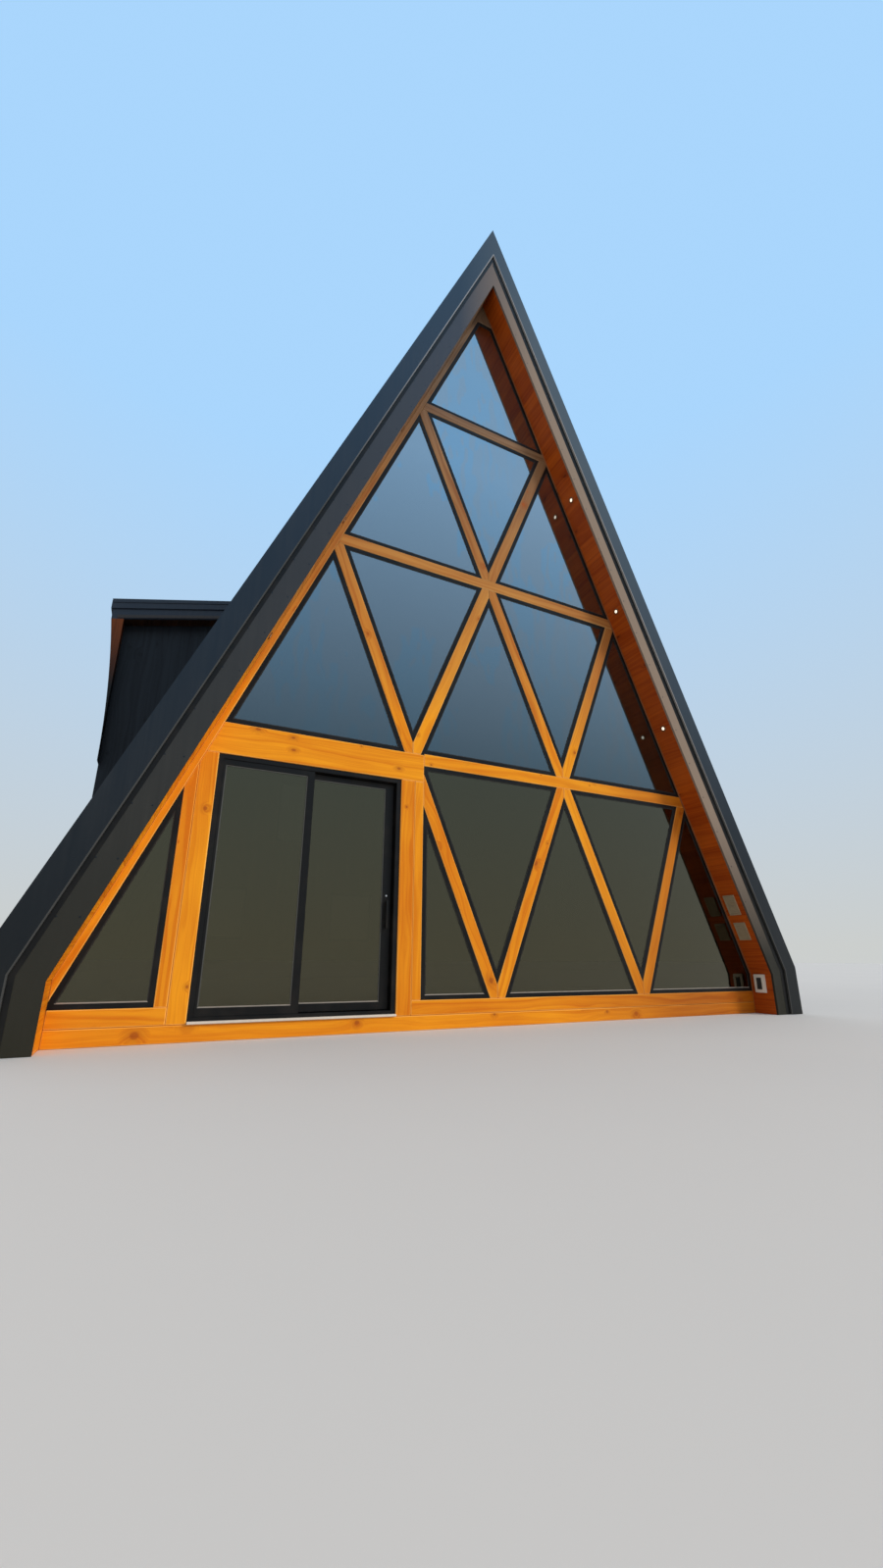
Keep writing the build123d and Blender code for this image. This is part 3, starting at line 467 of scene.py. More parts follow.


# Painted shade: the honey front turns darker and browner towards the top, and deeper towards the right.
honey = dict(light=(0.94, 0.365, 0.010), dark=(0.68, 0.18, 0.004), knot=(0.36, 0.075, 0.006),
             height_shade_tints=((0.215, 0.140, 0.085), (0.12, 0.070, 0.038)))
PAINTED_SHADE = dict(painted_light_heights=(2.8, 7.2), power=0.6, reach=(0.8, 2.4))
honey_pine = wood("honey_pine", knots=0.45, right_shade_tints=((0.60, 0.19, 0.010), (0.40, 0.10, 0.005)),
                  **PAINTED_SHADE, **honey)
# Painted shade: a darker, redder copy of the pine for the soffit boards on the shaded right.
shaded_red_pine = wood("shaded_red_pine", (0.49, 0.092, 0.006), (0.30, 0.043, 0.003), (0.10, 0.014, 0.002), knots=0.3)
soffits = bmesh.new()
for side in (-1, 1):
    mitre = Vector((side, 0, slope_foot(1) - slope_foot(0)))
    above_knee = Vector((-side * mitre.z, 0, side * mitre.x))
    half = merged_copy("soffits")
    keep_side(half, (0, 0, 0), (side, 0, 0))
    foot = half.copy()
    keep_side(half, (side * KNEE_X, 0, slope_foot(0)), above_knee)
    keep_side(foot, (side * KNEE_X, 0, slope_foot(0)), -above_knee)
    ease(foot, BOARD_EASE)
    gather(soffits, foot)
    up_slope = (-side * cos(slope_angle), 0, sin(slope_angle))
    gather(soffits, split_into_boards(half, up_slope, SOFFIT_PITCH, BOARD_EASE))
lay_grain(soffits, 31, along=(0, 1, 0))
# Painted shade: the boards right of the middle take the darker, redder pine.
for face in soffits.faces:
    face.material_index = int(face.calc_center_median().x > 0)
soffit_boards = make_piece("soffit_boards", soffits, [honey_pine, shaded_red_pine])
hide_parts("soffits")


# Bead of the right slope
# A slim planed bead closes the corner between the front and the soffit of the right slope.
def slope_strip(bm, side, inner, outer, y_low, y_high):
    """Adds a strip along one slope and its upright foot, between two distances out from the soffit."""
    corners = [(KNEE_X + inner, 0), (KNEE_X + inner, slope_foot(inner)), (0, slope_top(inner)),
               (0, slope_top(outer)), (KNEE_X + outer, slope_foot(outer)), (KNEE_X + outer, 0)]
    verts = [bm.verts.new((side * x, y_low, z)) for x, z in corners]
    faces = [bm.faces.new([verts[index] for index in loop]) for loop in ((0, 1, 4, 5), (1, 2, 3, 4))]
    made = bmesh.ops.extrude_face_region(bm, geom=faces)
    moved = [item for item in made["geom"] if isinstance(item, bmesh.types.BMVert)]
    bmesh.ops.translate(bm, verts=moved, vec=(0, y_high - y_low, 0))
    bmesh.ops.recalc_face_normals(bm, faces=bm.faces)


BEAD = 0.012
BEAD_START = 0.08          # from the middle, beside the apex block
# Painted shade: the bead is a duller brown than the pine beside it, standing in for the shade it lies in.
shaded_bead_pine = wood("shaded_bead_pine", (0.34, 0.135, 0.055), (0.22, 0.07, 0.025), (0.10, 0.03, 0.01), knots=0.2)
front_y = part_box("gable_board")[0].y
bm = bmesh.new()
slope_strip(bm, 1, -BEAD, 0, front_y - BEAD, front_y)
keep_side(bm, (0, 0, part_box("skirting")[1].z), (0, 0, 1))
keep_side(bm, (BEAD_START, 0, 0), (1, 0, 0))
ease(bm, BEAD / 4, 2)
lay_grain(bm, 13)
bead = make_piece("corner_bead", bm, [shaded_bead_pine])


# Timbers of the front
# Planed pine, stained honey orange under satin varnish, with a paler painted highlight on its eased
# edges. The skirting planks carry the posts and the lattice, whose bars meet in mitres at the nodes of
# the triangle grid.
TIMBER_EASE = 0.004
TIMBERS = ("skirting", "door_post_left", "door_post_right", "door_header", "lattice_rails",
           "lattice_diagonals", "gable_board", "apex_block")
# Painted highlight: the eased edges take this paler copy of the honey pine, which also carries the
# painted shade with height and to the right.
edge_highlight_pine = wood("edge_highlight_pine", (1.0, 0.49, 0.10), (0.84, 0.33, 0.04), (0.40, 0.12, 0.02), knots=0.0,
                 height_shade_tints=((0.25, 0.165, 0.10), (0.16, 0.10, 0.055)),
                 right_shade_tints=((0.68, 0.27, 0.05), (0.50, 0.17, 0.02)), **PAINTED_SHADE)
for seed, node in enumerate(TIMBERS):
    bm = merged_copy(node)
    ease(bm, TIMBER_EASE, finish=1)
    lay_grain(bm, seed + 3)
    timber = make_piece(node + "_timber", bm, [honey_pine, edge_highlight_pine])
    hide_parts(node)


# Windows of the front
# Black coated frames set back between the timbers, each with a sealed glass unit under a rubber gasket.
# The lowest row is dark tinted glass. The rows above reflect more strongly and bluer with height, as
# painted sky reflection.
def powder_coat(tree, shader):
    place = add_node(tree, "TexCoord", {})["Object"]
    peel = noise(tree, place, 420.0, 2.0)
    smear = noise(tree, place, 5.0, 4.0)
    tint = blend_colours(tree, fade(tree, smear, 0.45, 0.75), (0.005, 0.005, 0.005, 1),
                         (0.016, 0.014, 0.012, 1))
    colour_and_gloss(tree, shader, tint, fade(tree, smear, 0.3, 0.8, 0.34, 0.55))
    add_relief(tree, shader, peel, 0.25, 0.0004)


def rubber_seal(tree, shader):
    place = add_node(tree, "TexCoord", {})["Object"]
    chalk = noise(tree, place, 60.0, 3.0)
    tint = blend_colours(tree, chalk, (0.010, 0.010, 0.010, 1), (0.045, 0.043, 0.040, 1))
    colour_and_gloss(tree, shader, tint, fade(tree, chalk, 0.3, 0.7, 0.55, 0.75))


def moulded(name, low, high, values=None):
    """Moulded plastic with a fine grain and slight weathering."""
    def build(tree, shader):
        place = add_node(tree, "TexCoord", {})["Object"]
        grain = noise(tree, place, 380.0, 2.0)
        age = noise(tree, place, 18.0, 4.0)
        tint = blend_colours(tree, age, (*low, 1), (*high, 1))
        colour_and_gloss(tree, shader, tint, fade(tree, age, 0.3, 0.7, 0.38, 0.56))
        add_relief(tree, shader, grain, 0.2, 0.0003)
    return finish_with(name, values or {}, build)


def glazing(name, low, high, sky_reflection_heights=None, values=None):
    """Tinted glass with a faint film of dirt. Between two heights its coat reflects more strongly, as
    painted reflection.
    """
    def build(tree, shader):
        place = add_node(tree, "TexCoord", {})["Object"]
        film = noise(tree, stretch(tree, place, (1.2, 1.2, 0.5)), 1.0, 3.0)
        tint = blend_colours(tree, film, (*low, 1), (*high, 1))
        colour_and_gloss(tree, shader, tint, fade(tree, film, 0.35, 0.75, 0.0, 0.02))
        if sky_reflection_heights:
            up = add_node(tree, "SeparateXYZ", {0: place})[2]
            tree.links.new(fade(tree, up, *sky_reflection_heights), shader.inputs["Coat Weight"])
        add_relief(tree, shader, film, 0.25, 0.003)
    return finish_with(name, {"Transmission Weight": 1.0, **(values or {})}, build)


def eased_frame(node, piece_name, width, material, body="cabin"):
    """Replaces a frame by a copy with eased edges."""
    bm = merged_copy(node)
    ease(bm, width)
    piece = make_piece(piece_name, bm, [material], body)
    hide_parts(node)


def gasket(node, out, width, height, body="cabin", seal=None, bead=None):
    """Adds a seal round every pane of a node on the side that out points to, with a bead at the foot that
    can take a pale painted highlight.
    """
    seal = seal or black_rubber
    out = Vector(out)
    bm = merged_copy(node)
    turned_away = [face for face in bm.faces if face.normal.dot(out) < FACING]
    bmesh.ops.delete(bm, geom=turned_away, context="FACES")
    ring = bmesh.ops.inset_region(bm, faces=bm.faces[:], thickness=width, use_even_offset=True,
                                  use_boundary=True)["faces"]
    bmesh.ops.delete(bm, geom=[face for face in bm.faces if face not in ring], context="FACES")
    made = bmesh.ops.extrude_face_region(bm, geom=bm.faces[:])
    moved = [item for item in made["geom"] if isinstance(item, bmesh.types.BMVert)]
    bmesh.ops.translate(bm, verts=moved, vec=out * height)
    bmesh.ops.recalc_face_normals(bm, faces=bm.faces)
    for pane in islands(bm):
        foot = min(vertex.co.z for vertex in pane) + FOOT_SHARE * width
        for face in {face for vertex in pane for face in vertex.link_faces}:
            face.material_index = int(max(vertex.co.z for vertex in face.verts) < foot)
    rubber = make_piece(node + "_gasket", bm, [seal, bead or seal], body)


FRAME_EASE = 0.0015
SEAL_WIDTH = 0.009
SEAL_HEIGHT = 0.004
FACING = 0.9               # cosine within which a face counts as the outer one
FOOT_SHARE = 1.05          # of the seal's width, up to which a face belongs to the foot
black_coat = finish_with("black_coat", {"Specular IOR Level": 0.22}, powder_coat)
black_rubber = finish_with("black_rubber", {"Specular IOR Level": 0.2}, rubber_seal)
# Painted highlight: the pale foot of each seal stands in for light caught along the bottom of the pane.
highlight_bead = moulded("highlight_bead", (0.22, 0.19, 0.16), (0.36, 0.33, 0.29))
glass = glazing("tinted_glass", (0.050, 0.046, 0.035), (0.080, 0.073, 0.054),
                values={"IOR": 1.85, "Specular Tint": (1.0, 0.93, 0.62, 1)})
# Painted reflection: the blue specular tint and a coat that grows with height stand in for reflected sky.
sky_reflection_glass = glazing("sky_reflection_glass", (0.05, 0.05, 0.045), (0.09, 0.085, 0.07), (2.1, 6.1),
                       {"IOR": 2.1, "Specular Tint": (0.60, 0.86, 1.0, 1), "Coat IOR": 4.0,
                        "Coat Roughness": 0.0})
for level, bead in (("lower", highlight_bead), ("upper", None)):
    eased_frame("window_frames_" + level, f"window_frames_{level}_coated", FRAME_EASE, black_coat)
    gasket("window_glass_" + level, (0, -1, 0), SEAL_WIDTH, SEAL_HEIGHT, bead=bead)
dress(["window_glass_lower"], glass)
dress(["window_glass_upper"], sky_reflection_glass)


# Sliding door
# Black coated frame on a pale metal sill. The left leaf is fixed in the outer track and the right one
# slides behind it on two rollers, with a rounded pull and a key cylinder on a plate on its free stile.
def add_block(bm, low, high, turn=None):
    """Adds a block between two corners, moved by the matrix turn where one is given."""
    low, high = Vector(low), Vector(high)
    place = Matrix.Translation((low + high) / 2) @ Matrix.Diagonal((*(high - low), 1))
    return bmesh.ops.create_cube(bm, size=1, matrix=(turn or Matrix()) @ place)["verts"]


def lathe(profile, steps, place):
    """A turned part from radius and height pairs, set at a matrix."""
    bm = bmesh.new()
    verts = [bm.verts.new((radius, 0, height)) for radius, height in profile]
    edges = [bm.edges.new(pair) for pair in zip(verts, verts[1:])]
    bmesh.ops.spin(bm, geom=verts + edges, cent=(0, 0, 0), axis=(0, 0, 1), angle=2 * pi, steps=steps,
                   use_merge=True)
    bmesh.ops.remove_doubles(bm, verts=bm.verts, dist=MERGE)
    bmesh.ops.recalc_face_normals(bm, faces=bm.faces)
    bmesh.ops.transform(bm, matrix=place, verts=bm.verts)
    return bm


coated_steel, given, result = new_group(
    "coated_steel",
    {"Place": "Vector", "Base": "Color", "Dust": "Color", "Dusty": "Float", "Gloss": "Float"},
    {"Color": "Color", "Roughness": "Float", "Height": "Float"},
)
tree = coated_steel
patch = noise(tree, stretch(tree, given["Place"], (1.6, 1.6, 0.8)), 1.0, 5.0, Roughness=0.6)
runs = noise(tree, stretch(tree, given["Place"], (26.0, 26.0, 0.9)), 1.0, 4.0)
speck = noise(tree, given["Place"], 240.0, 2.0)
dust = math(tree, "MULTIPLY", fade(tree, patch, 0.38, 0.72), fade(tree, runs, 0.30, 0.75))
dust = math(tree, "MULTIPLY_ADD", fade(tree, speck, 0.45, 0.8), 0.18, dust)
dust = math(tree, "MULTIPLY", dust, given["Dusty"])
tree.links.new(blend_colours(tree, dust, given["Base"], given["Dust"]), result["Color"])
rough = math(tree, "MULTIPLY_ADD", dust, 0.35, given["Gloss"])
tree.links.new(math(tree, "MULTIPLY_ADD", speck, 0.08, rough), result["Roughness"])
waver = noise(tree, stretch(tree, given["Place"], (2.4, 2.4, 1.3)), 1.0, 1.0)
tree.links.new(math(tree, "MULTIPLY_ADD", speck, 0.02, waver), result["Height"])


def steel(name, base, dust, dusty=0.35, gloss=0.38, buckle=0.004, metal=0.0, level=0.4):
    """Coated or bare sheet metal with a little dust, runs and the soft buckle of thin sheet."""
    def build(tree, shader):
        place = add_node(tree, "TexCoord", {})["Object"]
        pattern = place_group(tree, coated_steel, {
            "Place": place, "Base": (*base, 1), "Dust": (*dust, 1), "Dusty": dusty, "Gloss": gloss,
        })
        colour_and_gloss(tree, shader, pattern["Color"], pattern["Roughness"])
        add_relief(tree, shader, pattern["Height"], 0.5, buckle)
    return finish_with(name, {"Metallic": metal, "Specular IOR Level": level}, build)


sill_metal = steel("sill_metal", (0.72, 0.66, 0.58), (0.50, 0.44, 0.36), dusty=0.5, gloss=0.3,
                   buckle=0.0005)
bright_metal = steel("bright_metal", (0.60, 0.60, 0.60), (0.35, 0.34, 0.32), dusty=0.3, gloss=0.25,
                     buckle=0.0002, metal=0.9)
eased_frame("door_frame", "door_frame_coated", FRAME_EASE, black_coat)
eased_frame("door_fixed_leaf", "door_fixed_leaf_coated", FRAME_EASE, black_coat)
eased_frame("door_sliding_leaf", "door_sliding_leaf_coated", FRAME_EASE, black_coat,
            "sliding_door")
grey_bead = moulded("grey_bead", (0.050, 0.050, 0.045), (0.090, 0.088, 0.078))
# Painted highlight: the pale foot of the door seals, as on the windows.
gasket("door_fixed_glass", (0, -1, 0), SEAL_WIDTH, SEAL_HEIGHT, seal=grey_bead, bead=highlight_bead)
gasket("door_sliding_glass", (0, -1, 0), SEAL_WIDTH, SEAL_HEIGHT, "sliding_door", grey_bead, highlight_bead)
dress(["door_fixed_glass", "door_sliding_glass"], glass)

SILL_EASE = 0.004
eased_frame("door_sill", "door_sill_nosing", SILL_EASE, sill_metal)

HANDLE_ROUND = 0.0065
PLATE_THICKNESS = 0.003
PLATE_MARGIN = 0.022       # above and below the pull and the cylinder
PLATE_SIDE = 0.004         # beside them
CYLINDER_RADIUS = 0.0085
CYLINDER_DEPTH = 0.0035
CYLINDER_EASE = 0.001
CYLINDER_RISE = 0.040      # above the pull
KEYWAY_LOW = (-0.001, -0.0045, 0.0034)
KEYWAY_HIGH = (0.001, 0.0045, 0.0038)
handle_low, handle_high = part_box("door_handle")
bm = merged_copy("door_handle")
ease(bm, HANDLE_ROUND, 3)
pull = make_piece("pull_handle", bm, [black_coat], "sliding_door", smooth=50)
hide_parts("door_handle")
leaf_face = handle_high.y
plate_low = (handle_low.x - PLATE_SIDE, leaf_face - PLATE_THICKNESS, handle_low.z - PLATE_MARGIN)
plate_high = (handle_high.x + PLATE_SIDE, leaf_face, handle_high.z + CYLINDER_RISE + PLATE_MARGIN)
bm = bmesh.new()
add_block(bm, plate_low, plate_high)
ease(bm, PLATE_THICKNESS / 3, 2)
plate = make_piece("handle_plate", bm, [black_coat], "sliding_door")
plate_face = (
    (handle_low.x + handle_high.x) / 2,
    leaf_face - PLATE_THICKNESS,
    handle_high.z + CYLINDER_RISE,
)
cylinder_place = Matrix.Translation(plate_face) @ Matrix.Rotation(pi / 2, 4, "X")
profile = [(0, CYLINDER_DEPTH), (CYLINDER_RADIUS - CYLINDER_EASE, CYLINDER_DEPTH),
           (CYLINDER_RADIUS, CYLINDER_DEPTH - CYLINDER_EASE), (CYLINDER_RADIUS, 0)]
bm = lathe(profile, 24, cylinder_place)
add_block(bm, KEYWAY_LOW, KEYWAY_HIGH, cylinder_place)
cylinder = make_piece("key_cylinder", bm, [bright_metal], "sliding_door", smooth=40)


# Rear wall
# Upright pine boards stained like the front, cut round three windows in black frames. Flat casing boards
# are nailed round each window, over a deeper sill.
REAR_PITCH = 0.142
CASING_WIDTH = 0.090
CASING_PROUD = 0.018
SILL_GAP = 0.004
rear_y = -front_y          # the wall's outer face
# Painted shade: the boards turn darker and browner towards the top, as on the front.
rear_pine = wood("rear_pine", knots=0.5, painted_light_heights=(2.6, 9.6), **honey)
bm = split_into_boards(merged_copy("rear_wall"), (1, 0, 0), REAR_PITCH, BOARD_EASE)
lay_grain(bm, 14, along=(0, 0, 1))
rear_boards = make_piece("rear_wall_boards", bm, [rear_pine])
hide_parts("rear_wall")
eased_frame("rear_window_frames", "rear_window_frames_coated", FRAME_EASE, black_coat)
gasket("rear_window_glass", (0, 1, 0), SEAL_WIDTH, SEAL_HEIGHT)
dress(["rear_window_glass"], glass)
bm = bmesh.new()
for frame_verts in islands(merged_copy("rear_window_frames")):
    xs = [vertex.co.x for vertex in frame_verts]
    zs = [vertex.co.z for vertex in frame_verts]
    left, right, foot, head = min(xs), max(xs), min(zs), max(zs)
    for x in ((left - CASING_WIDTH, left), (right, right + CASING_WIDTH)):
        add_block(bm, (x[0], rear_y, foot - CASING_WIDTH), (x[1], rear_y + CASING_PROUD, head))
    add_block(bm, (left - CASING_WIDTH, rear_y, head),
              (right + CASING_WIDTH, rear_y + CASING_PROUD, head + CASING_WIDTH))
    add_block(bm, (left, rear_y, foot - CASING_WIDTH),
              (right, rear_y + 2 * CASING_PROUD, foot - SILL_GAP))
ease(bm, BOARD_EASE)
lay_grain(bm, 15)
casing = make_piece("rear_window_casing", bm, [rear_pine])


# Side bay
# A shed-roofed box standing out of the left slope. Its walls are upright charcoal-stained boards round a
# black-framed window. A curved wing, orange above and darkened below by painted shade, is fixed under
# each end of its eave, whose boards are near black as painted shade.
CHEEK_PITCH = 0.118
CHEEK_EASE = 0.003
BAY_RISE = 0.28            # of the bay's roof in each metre inwards
dark_wood = wood("dark_wood", (0.012, 0.017, 0.024), (0.006, 0.008, 0.012), (0.004, 0.005, 0.007),
                 knots=0.25, gloss=0.05)
# Painted shade: the eave boards under the overhang are near black.
shaded_eave_wood = wood("shaded_eave_wood", (0.050, 0.020, 0.008), (0.022, 0.009, 0.004), (0.010, 0.004, 0.002),
                 knots=0.3, gloss=0.0)
# Painted shade: the wing is dark below and turns orange only towards the top.
shaded_wing_wood = wood("shaded_wing_wood", (0.012, 0.011, 0.011), (0.006, 0.006, 0.006), (0.004, 0.003, 0.003),
                 knots=0.3, height_shade_tints=((0.26, 0.062, 0.010), (0.12, 0.028, 0.004)), painted_light_heights=(3.40, 4.20))
cheeks = split_into_boards(merged_copy("bay_cheeks"), (1, 0, 0), CHEEK_PITCH, CHEEK_EASE)
gather(cheeks, split_into_boards(merged_copy("bay_wall"), (0, 1, 0), CHEEK_PITCH, CHEEK_EASE))
lay_grain(cheeks, 16, along=(0, 0, 1))
bay_boards = make_piece("bay_boards", cheeks, [dark_wood])
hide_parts("bay_cheeks", "bay_wall")
eave = split_into_boards(merged_copy("bay_roof"), (1, 0, BAY_RISE), CHEEK_PITCH, BOARD_EASE)
lay_grain(eave, 17, along=(0, 1, 0))
bay_eave = make_piece("bay_eave", eave, [shaded_eave_wood])
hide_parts("bay_roof")
wings = merged_copy("bay_wings")
lay_grain(wings, 18, along=(0, 0, 1))
bay_wings = make_piece("bay_wings_shaded", wings, [shaded_wing_wood])
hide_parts("bay_wings")
eased_frame("bay_window_frame", "bay_window_frame_coated", FRAME_EASE, black_coat)
gasket("bay_window_glass", (-1, 0, 0), SEAL_WIDTH, SEAL_HEIGHT)
dress(["bay_window_glass"], glass)


# Roof sheets, ridge and rakes
# Charcoal coated steel: long standing-seam sheets, a folded ridge cap and two bands on each rake. The
# outer band ends in a hem, paler near the ridge as painted light, over a black strip of painted shade.
# Rows of pins hold the inner board.
roof_steel = steel("roof_steel", (0.018, 0.022, 0.030), (0.10, 0.105, 0.11), dusty=0.3, buckle=0.01)


def shaded_steel(name, low, high, right, painted_light_heights, gloss, level, rise=(0.0, 7.5)):
    """Coated steel that turns lighter and bluer with height as painted sky reflection, and on the right
    pales between two heights as painted sunlight.
    """
    def build(tree, shader):
        place = add_node(tree, "TexCoord", {})["Object"]
        axes = add_node(tree, "SeparateXYZ", {0: place})
        base = blend_colours(tree, fade(tree, axes[2], *rise), (*low, 1), (*high, 1))
        painted_light_right = fade(tree, axes[0], -0.5, 0.6)
        painted_sunlight = math(tree, "MULTIPLY", painted_light_right, fade(tree, axes[2], *painted_light_heights))
        base = blend_colours(tree, painted_sunlight, base, (*right, 1))
        dust = blend_colours(tree, 0.09, base, (0.5, 0.48, 0.44, 1))
        pattern = place_group(tree, coated_steel, {
            "Place": place, "Base": base, "Dust": dust, "Dusty": 0.35, "Gloss": gloss,
        })
        colour_and_gloss(tree, shader, pattern["Color"], pattern["Roughness"])
        add_relief(tree, shader, pattern["Height"], 0.5, 0.003)
    return finish_with(name, {"Specular IOR Level": level}, build)


# Painted light: each band turns lighter and bluer towards the ridge as painted sky reflection, and paler
# on the right as painted sunlight.
rake_steel = shaded_steel("rake_steel", (0.003, 0.004, 0.004), (0.013, 0.030, 0.056),
                          (0.060, 0.084, 0.108), (2.0, 6.5), gloss=0.40, level=0.30)
hem_steel = shaded_steel("hem_steel", (0.050, 0.050, 0.048), (0.24, 0.25, 0.27), (0.30, 0.29, 0.28),
                         (1.0, 4.0), gloss=0.35, level=0.3, rise=(4.6, 7.8))
bay_steel = steel("bay_steel", (0.016, 0.026, 0.044), (0.055, 0.065, 0.080), dusty=0.35, buckle=0.003)
rake_inner = shaded_steel("rake_inner", (0.024, 0.022, 0.014), (0.040, 0.052, 0.074),
                          (0.265, 0.200, 0.152), (0.6, 2.2), gloss=0.5, level=0.2)
dress(["roofing_left", "roofing_right", "ridge_cap", "bay_roofing"], roof_steel)
dress(["rake_trims"], rake_steel)
dress(["bay_fascia"], bay_steel)
dress(["rake_boards"], rake_inner)

RAKE_SPLIT = 0.206         # from the soffit out to the joint of trim and inner board
HEM = 0.010
# Painted shade: a black strip stands in for the shadow in the gap beside the trim, wider on the right.
SHADOW_GAP = {-1: 0.036, 1: 0.062}
SHADOW_GAP_PROUD = 0.002
PIN_PITCH = 0.42
PIN_OFFS = (0.035, RAKE_SPLIT - 0.05)
PIN_RADIUS = 0.007
PIN_PROFILE = ((0, 0.003), (PIN_RADIUS * 0.7, 0.0022), (PIN_RADIUS, 0))
trim_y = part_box("rake_trims")[1].y
board_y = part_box("rake_boards")[1].y
hems = bmesh.new()
shadow_gaps = bmesh.new()
pins = bmesh.new()
for side in (-1, 1):
    for end in (-1, 1):
        trim_pair = sorted((end * trim_y, end * board_y))
        slope_strip(hems, side, RAKE_SPLIT - HEM, RAKE_SPLIT, *trim_pair)
        gap_pair = sorted((end * board_y, end * (board_y + SHADOW_GAP_PROUD)))
        slope_strip(shadow_gaps, side, RAKE_SPLIT - HEM - SHADOW_GAP[side], RAKE_SPLIT - HEM, *gap_pair)
        run = (slope_top(0) - slope_foot(0)) / sin(slope_angle)
        for number in range(1, int(run / PIN_PITCH)):
            up = slope_foot(0) + number * PIN_PITCH * sin(slope_angle)
            for off in PIN_OFFS:
                x = side * (HALF_BASE - LEAN * (up - NODE_BASE) + off / sin(slope_angle))
                turn = Matrix.Rotation(-end * pi / 2, 4, "X")
                gather(pins, lathe(PIN_PROFILE, 8, Matrix.Translation((x, end * board_y, up)) @ turn))
hem = make_piece("rake_hem", hems, [hem_steel])
shadow_gap = make_piece("rake_shadow_gap", shadow_gaps, [black_coat])
rake_pins = make_piece("rake_pins", pins, [rake_steel], smooth=60)


# Seams and fascia steps of the bay roof
# The bay's coated steel sheets have the same folded seams, running down to its eave. A drip flashing caps
# the fascia and a browner strip closes its lower edge, so that it steps back in bands.
SEAM_PITCH = 0.41
SEAM_WIDTH = 0.014
SEAM_HEIGHT = 0.030
SEAM_SUNK = 0.004
SEAM_EASE = 0.003
SHEET = 0.014
bay_angle = atan2(BAY_RISE, 1)
bay_turn = Matrix.Rotation(-bay_angle, 4, "Y")
roofing_low, roofing_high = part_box("bay_roofing")
seams = bmesh.new()
seam_run = (roofing_high.x - roofing_low.x) / cos(bay_angle)
seam_count = int((roofing_high.y - roofing_low.y) / SEAM_PITCH)
sheet_top = roofing_low.z + SHEET
for number in range(seam_count + 1):
    y = (roofing_low.y + roofing_high.y) / 2 + (number - seam_count / 2) * SEAM_PITCH
    place = Matrix.Translation((roofing_low.x, y, sheet_top)) @ bay_turn
    add_block(seams, (0, -SEAM_WIDTH / 2, -SEAM_SUNK), (seam_run, SEAM_WIDTH / 2, SEAM_HEIGHT), place)
ease(seams, SEAM_EASE)
bay_seams = make_piece("bay_roof_seams", seams, [roof_steel])

FASCIA_DEPTH = 0.232
FASCIA_BOARD = 0.018
STEP_PROUD = 0.007
FLASHING = 0.042
FLASHING_LIP = 0.004
CLOSER = 0.044
CLOSER_RISE = 0.006        # above the fascia's lower edge
BAND_EASE = 0.0015
BAND_SPLIT = 0.1           # below the top corner, between flashing and closer
closer_steel = steel("closer_steel", (0.034, 0.026, 0.024), (0.10, 0.085, 0.07), dusty=0.3,
                     buckle=0.001)
fascia_low, fascia_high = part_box("bay_fascia")
bands = bmesh.new()
fascia_run = (fascia_high.x - fascia_low.x) / cos(bay_angle)
top_corner = fascia_low.z + FASCIA_DEPTH + BAY_RISE * FASCIA_BOARD
for end, y in ((-1, fascia_low.y), (1, fascia_high.y)):
    place = Matrix.Translation((fascia_low.x, y, top_corner)) @ bay_turn
    y_pair = sorted((0, end * STEP_PROUD))
    add_block(bands, (0, y_pair[0], -FLASHING), (fascia_run, y_pair[1], FLASHING_LIP), place)
    y_pair = sorted((-end * FASCIA_BOARD, end * (STEP_PROUD - FASCIA_BOARD)))
    add_block(bands, (FASCIA_BOARD, y_pair[0], -FASCIA_DEPTH + CLOSER_RISE),
              (fascia_run, y_pair[1], -FASCIA_DEPTH + CLOSER), place)
ease(bands, BAND_EASE)
for face in bands.faces:
    local = place.inverted() @ face.calc_center_median()
    face.material_index = int(local.z < -BAND_SPLIT)
bay_bands = make_piece("bay_fascia_bands", bands, [bay_steel, closer_steel])


# Fixtures
# Three downlights let into each front slope, each a frosted lens in a bronze ring. The right slope also
# has two louvred plastic vent plates, and a moulded socket box with a small dark window in its cover.
white_plastic = moulded("white_plastic", (0.62, 0.56, 0.48), (0.75, 0.70, 0.62))
grey_plastic = moulded("grey_plastic", (0.29, 0.225, 0.135), (0.38, 0.30, 0.19))
smoked_cover = moulded("smoked_cover", (0.012, 0.014, 0.015), (0.03, 0.032, 0.032))
lit_lens = moulded("lit_lens", (0.80, 0.78, 0.72), (0.86, 0.84, 0.80),
                   {"Emission Color": (1.0, 0.86, 0.68, 1), "Emission Strength": 1.1})


def soffit_place(verts, out_sign):
    """A matrix at the middle of a fitting's outer face: z out of the soffit, x along the building."""
    out = Vector((-out_sign * sin(slope_angle), 0, -cos(slope_angle)))
    middle = sum((vertex.co for vertex in verts), Vector()) / len(verts)
    reach = max((vertex.co - middle).dot(out) for vertex in verts)
    up = Vector((-out_sign * cos(slope_angle), 0, sin(slope_angle)))
    turn = Matrix((Vector((0, 1, 0)) * out_sign, up, out)).transposed().to_4x4()
    return Matrix.Translation(middle + out * reach) @ turn


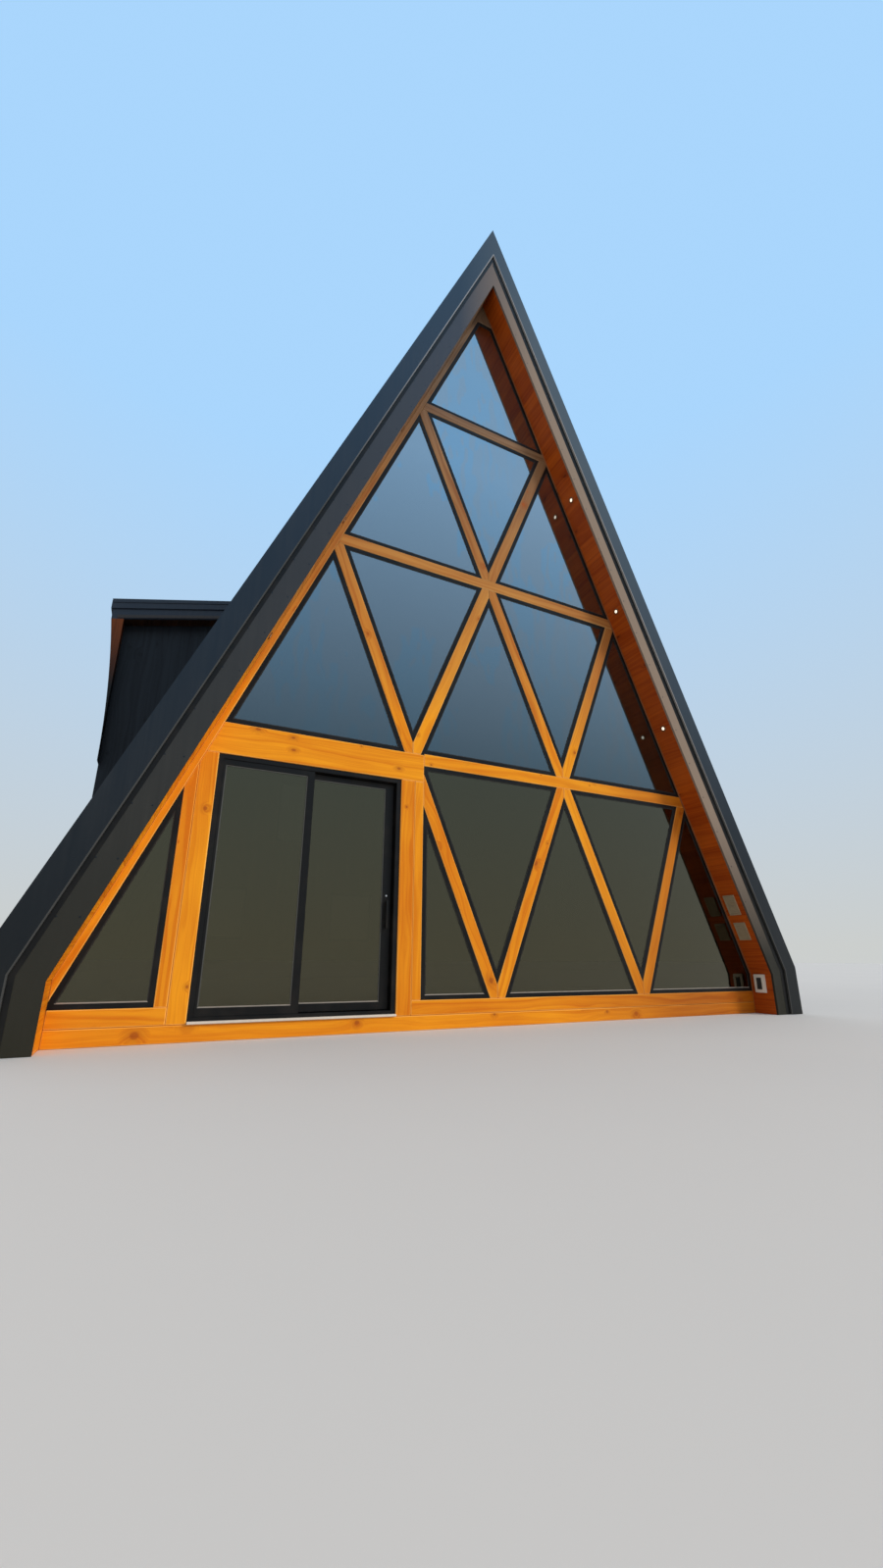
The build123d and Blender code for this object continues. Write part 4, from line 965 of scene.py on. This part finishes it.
LIGHT_RADIUS = 0.036
LENS_RADIUS = 0.019
RING_DEPTH = 0.007
RING_EASE = 0.003
RING_LIP = 0.002
RING_PROFILE = (
    (LENS_RADIUS, -RING_DEPTH), (LENS_RADIUS, -RING_EASE), (LENS_RADIUS + RING_LIP, 0),
    (LIGHT_RADIUS - RING_EASE, 0), (LIGHT_RADIUS, -RING_EASE), (LIGHT_RADIUS, -RING_DEPTH),
)
LENS_PROFILE = ((0, -0.001), (LENS_RADIUS * 0.6, -0.0018), (LENS_RADIUS, -0.004))
bronze = steel("bronze", (0.30, 0.13, 0.05), (0.16, 0.07, 0.03), dusty=0.4, gloss=0.3, buckle=0.0003,
               metal=0.8)
rings = bmesh.new()
lenses = bmesh.new()
for verts in islands(merged_copy("soffit_lights")):
    place = soffit_place(verts, 1 if verts[0].co.x > 0 else -1)
    gather(rings, lathe(RING_PROFILE, 32, place))
    gather(lenses, lathe(LENS_PROFILE, 24, place))
light_rings = make_piece("downlight_rings", rings, [bronze], smooth=40)
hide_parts("soffit_lights")
light_lenses = make_piece("downlight_lenses", lenses, [lit_lens], smooth=60)

VENT_WIDTH = 0.142
VENT_LENGTHS = (0.205, 0.235)
VENT_RIM = 0.014
VENT_BACK = 0.010          # depth of the back plate
VENT_FLOOR = 0.006         # depth of the rim
VENT_EASE = 0.0006
SLAT_COUNT = 7
SLAT_SHARE = 0.46          # of the pitch, each side of a slat's middle
SLAT_DEPTH = 0.0035
SLAT_HALF = 0.001
SLAT_TILT = 0.14
vents = bmesh.new()
for verts, length in zip(islands(merged_copy("soffit_vents")), VENT_LENGTHS):
    place = soffit_place(verts, 1)
    wide, long = VENT_WIDTH / 2, length / 2
    inner = wide - VENT_RIM
    add_block(vents, (-wide, -long, -VENT_BACK), (wide, long, -VENT_FLOOR), place)
    for sign in (-1, 1):
        rim = sorted((sign * wide, sign * inner))
        add_block(vents, (rim[0], -long, -VENT_FLOOR), (rim[1], long, 0), place)
        rim = sorted((sign * long, sign * (long - VENT_RIM)))
        add_block(vents, (-inner, rim[0], -VENT_FLOOR), (inner, rim[1], 0), place)
    slat_pitch = (length - 2 * VENT_RIM) / SLAT_COUNT
    slat = slat_pitch * SLAT_SHARE
    for number in range(SLAT_COUNT):
        middle = Matrix.Translation((0, -long + VENT_RIM + (number + 0.5) * slat_pitch, -SLAT_DEPTH))
        tilt = place @ middle @ Matrix.Rotation(SLAT_TILT, 4, "X")
        add_block(vents, (-inner, -slat, -SLAT_HALF), (inner, slat, SLAT_HALF), tilt)
ease(vents, VENT_EASE)
vent_plates = make_piece("vent_plates", vents, [grey_plastic])
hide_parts("soffit_vents")

BOX_EASE = 0.004
COVER = 0.006
COVER_EASE = 0.0025
COVER_RIM = 0.032          # beside the window
COVER_ENDS = COVER_RIM * 1.1
HINGE_OUT = (0.001, 0.009)  # from the cover's face to its near and far side
HINGE_INSET = 0.01         # from each side of the box
HINGE_DROP = (0.004, 0.0005)  # from the top of the box to its lower and upper side
WINDOW_PROUD = 0.0015
WINDOW_SUNK = 0.001
WINDOW_EASE = 0.001
box_low, box_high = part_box("outlet_box")
bm = bmesh.new()
add_block(bm, (box_low.x + COVER, box_low.y, box_low.z), (box_high.x, box_high.y, box_high.z))
ease(bm, BOX_EASE, 2)
cover = bmesh.new()
add_block(cover, (box_low.x, box_low.y, box_low.z + BOX_EASE),
          (box_low.x + COVER, box_high.y, box_high.z - BOX_EASE))
ease(cover, COVER_EASE, 2)
gather(bm, cover)
add_block(bm, (box_low.x + HINGE_OUT[0], box_low.y + HINGE_INSET, box_high.z - HINGE_DROP[0]),
          (box_low.x + HINGE_OUT[1], box_high.y - HINGE_INSET, box_high.z - HINGE_DROP[1]))
socket = make_piece("socket_box", bm, [white_plastic], smooth=40)
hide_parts("outlet_box")
bm = bmesh.new()
add_block(bm, (box_low.x - WINDOW_PROUD, box_low.y + COVER_RIM, box_low.z + COVER_ENDS),
          (box_low.x + WINDOW_SUNK, box_high.y - COVER_RIM, box_high.z - COVER_ENDS))
ease(bm, WINDOW_EASE)
window = make_piece("socket_window", bm, [smoked_cover])
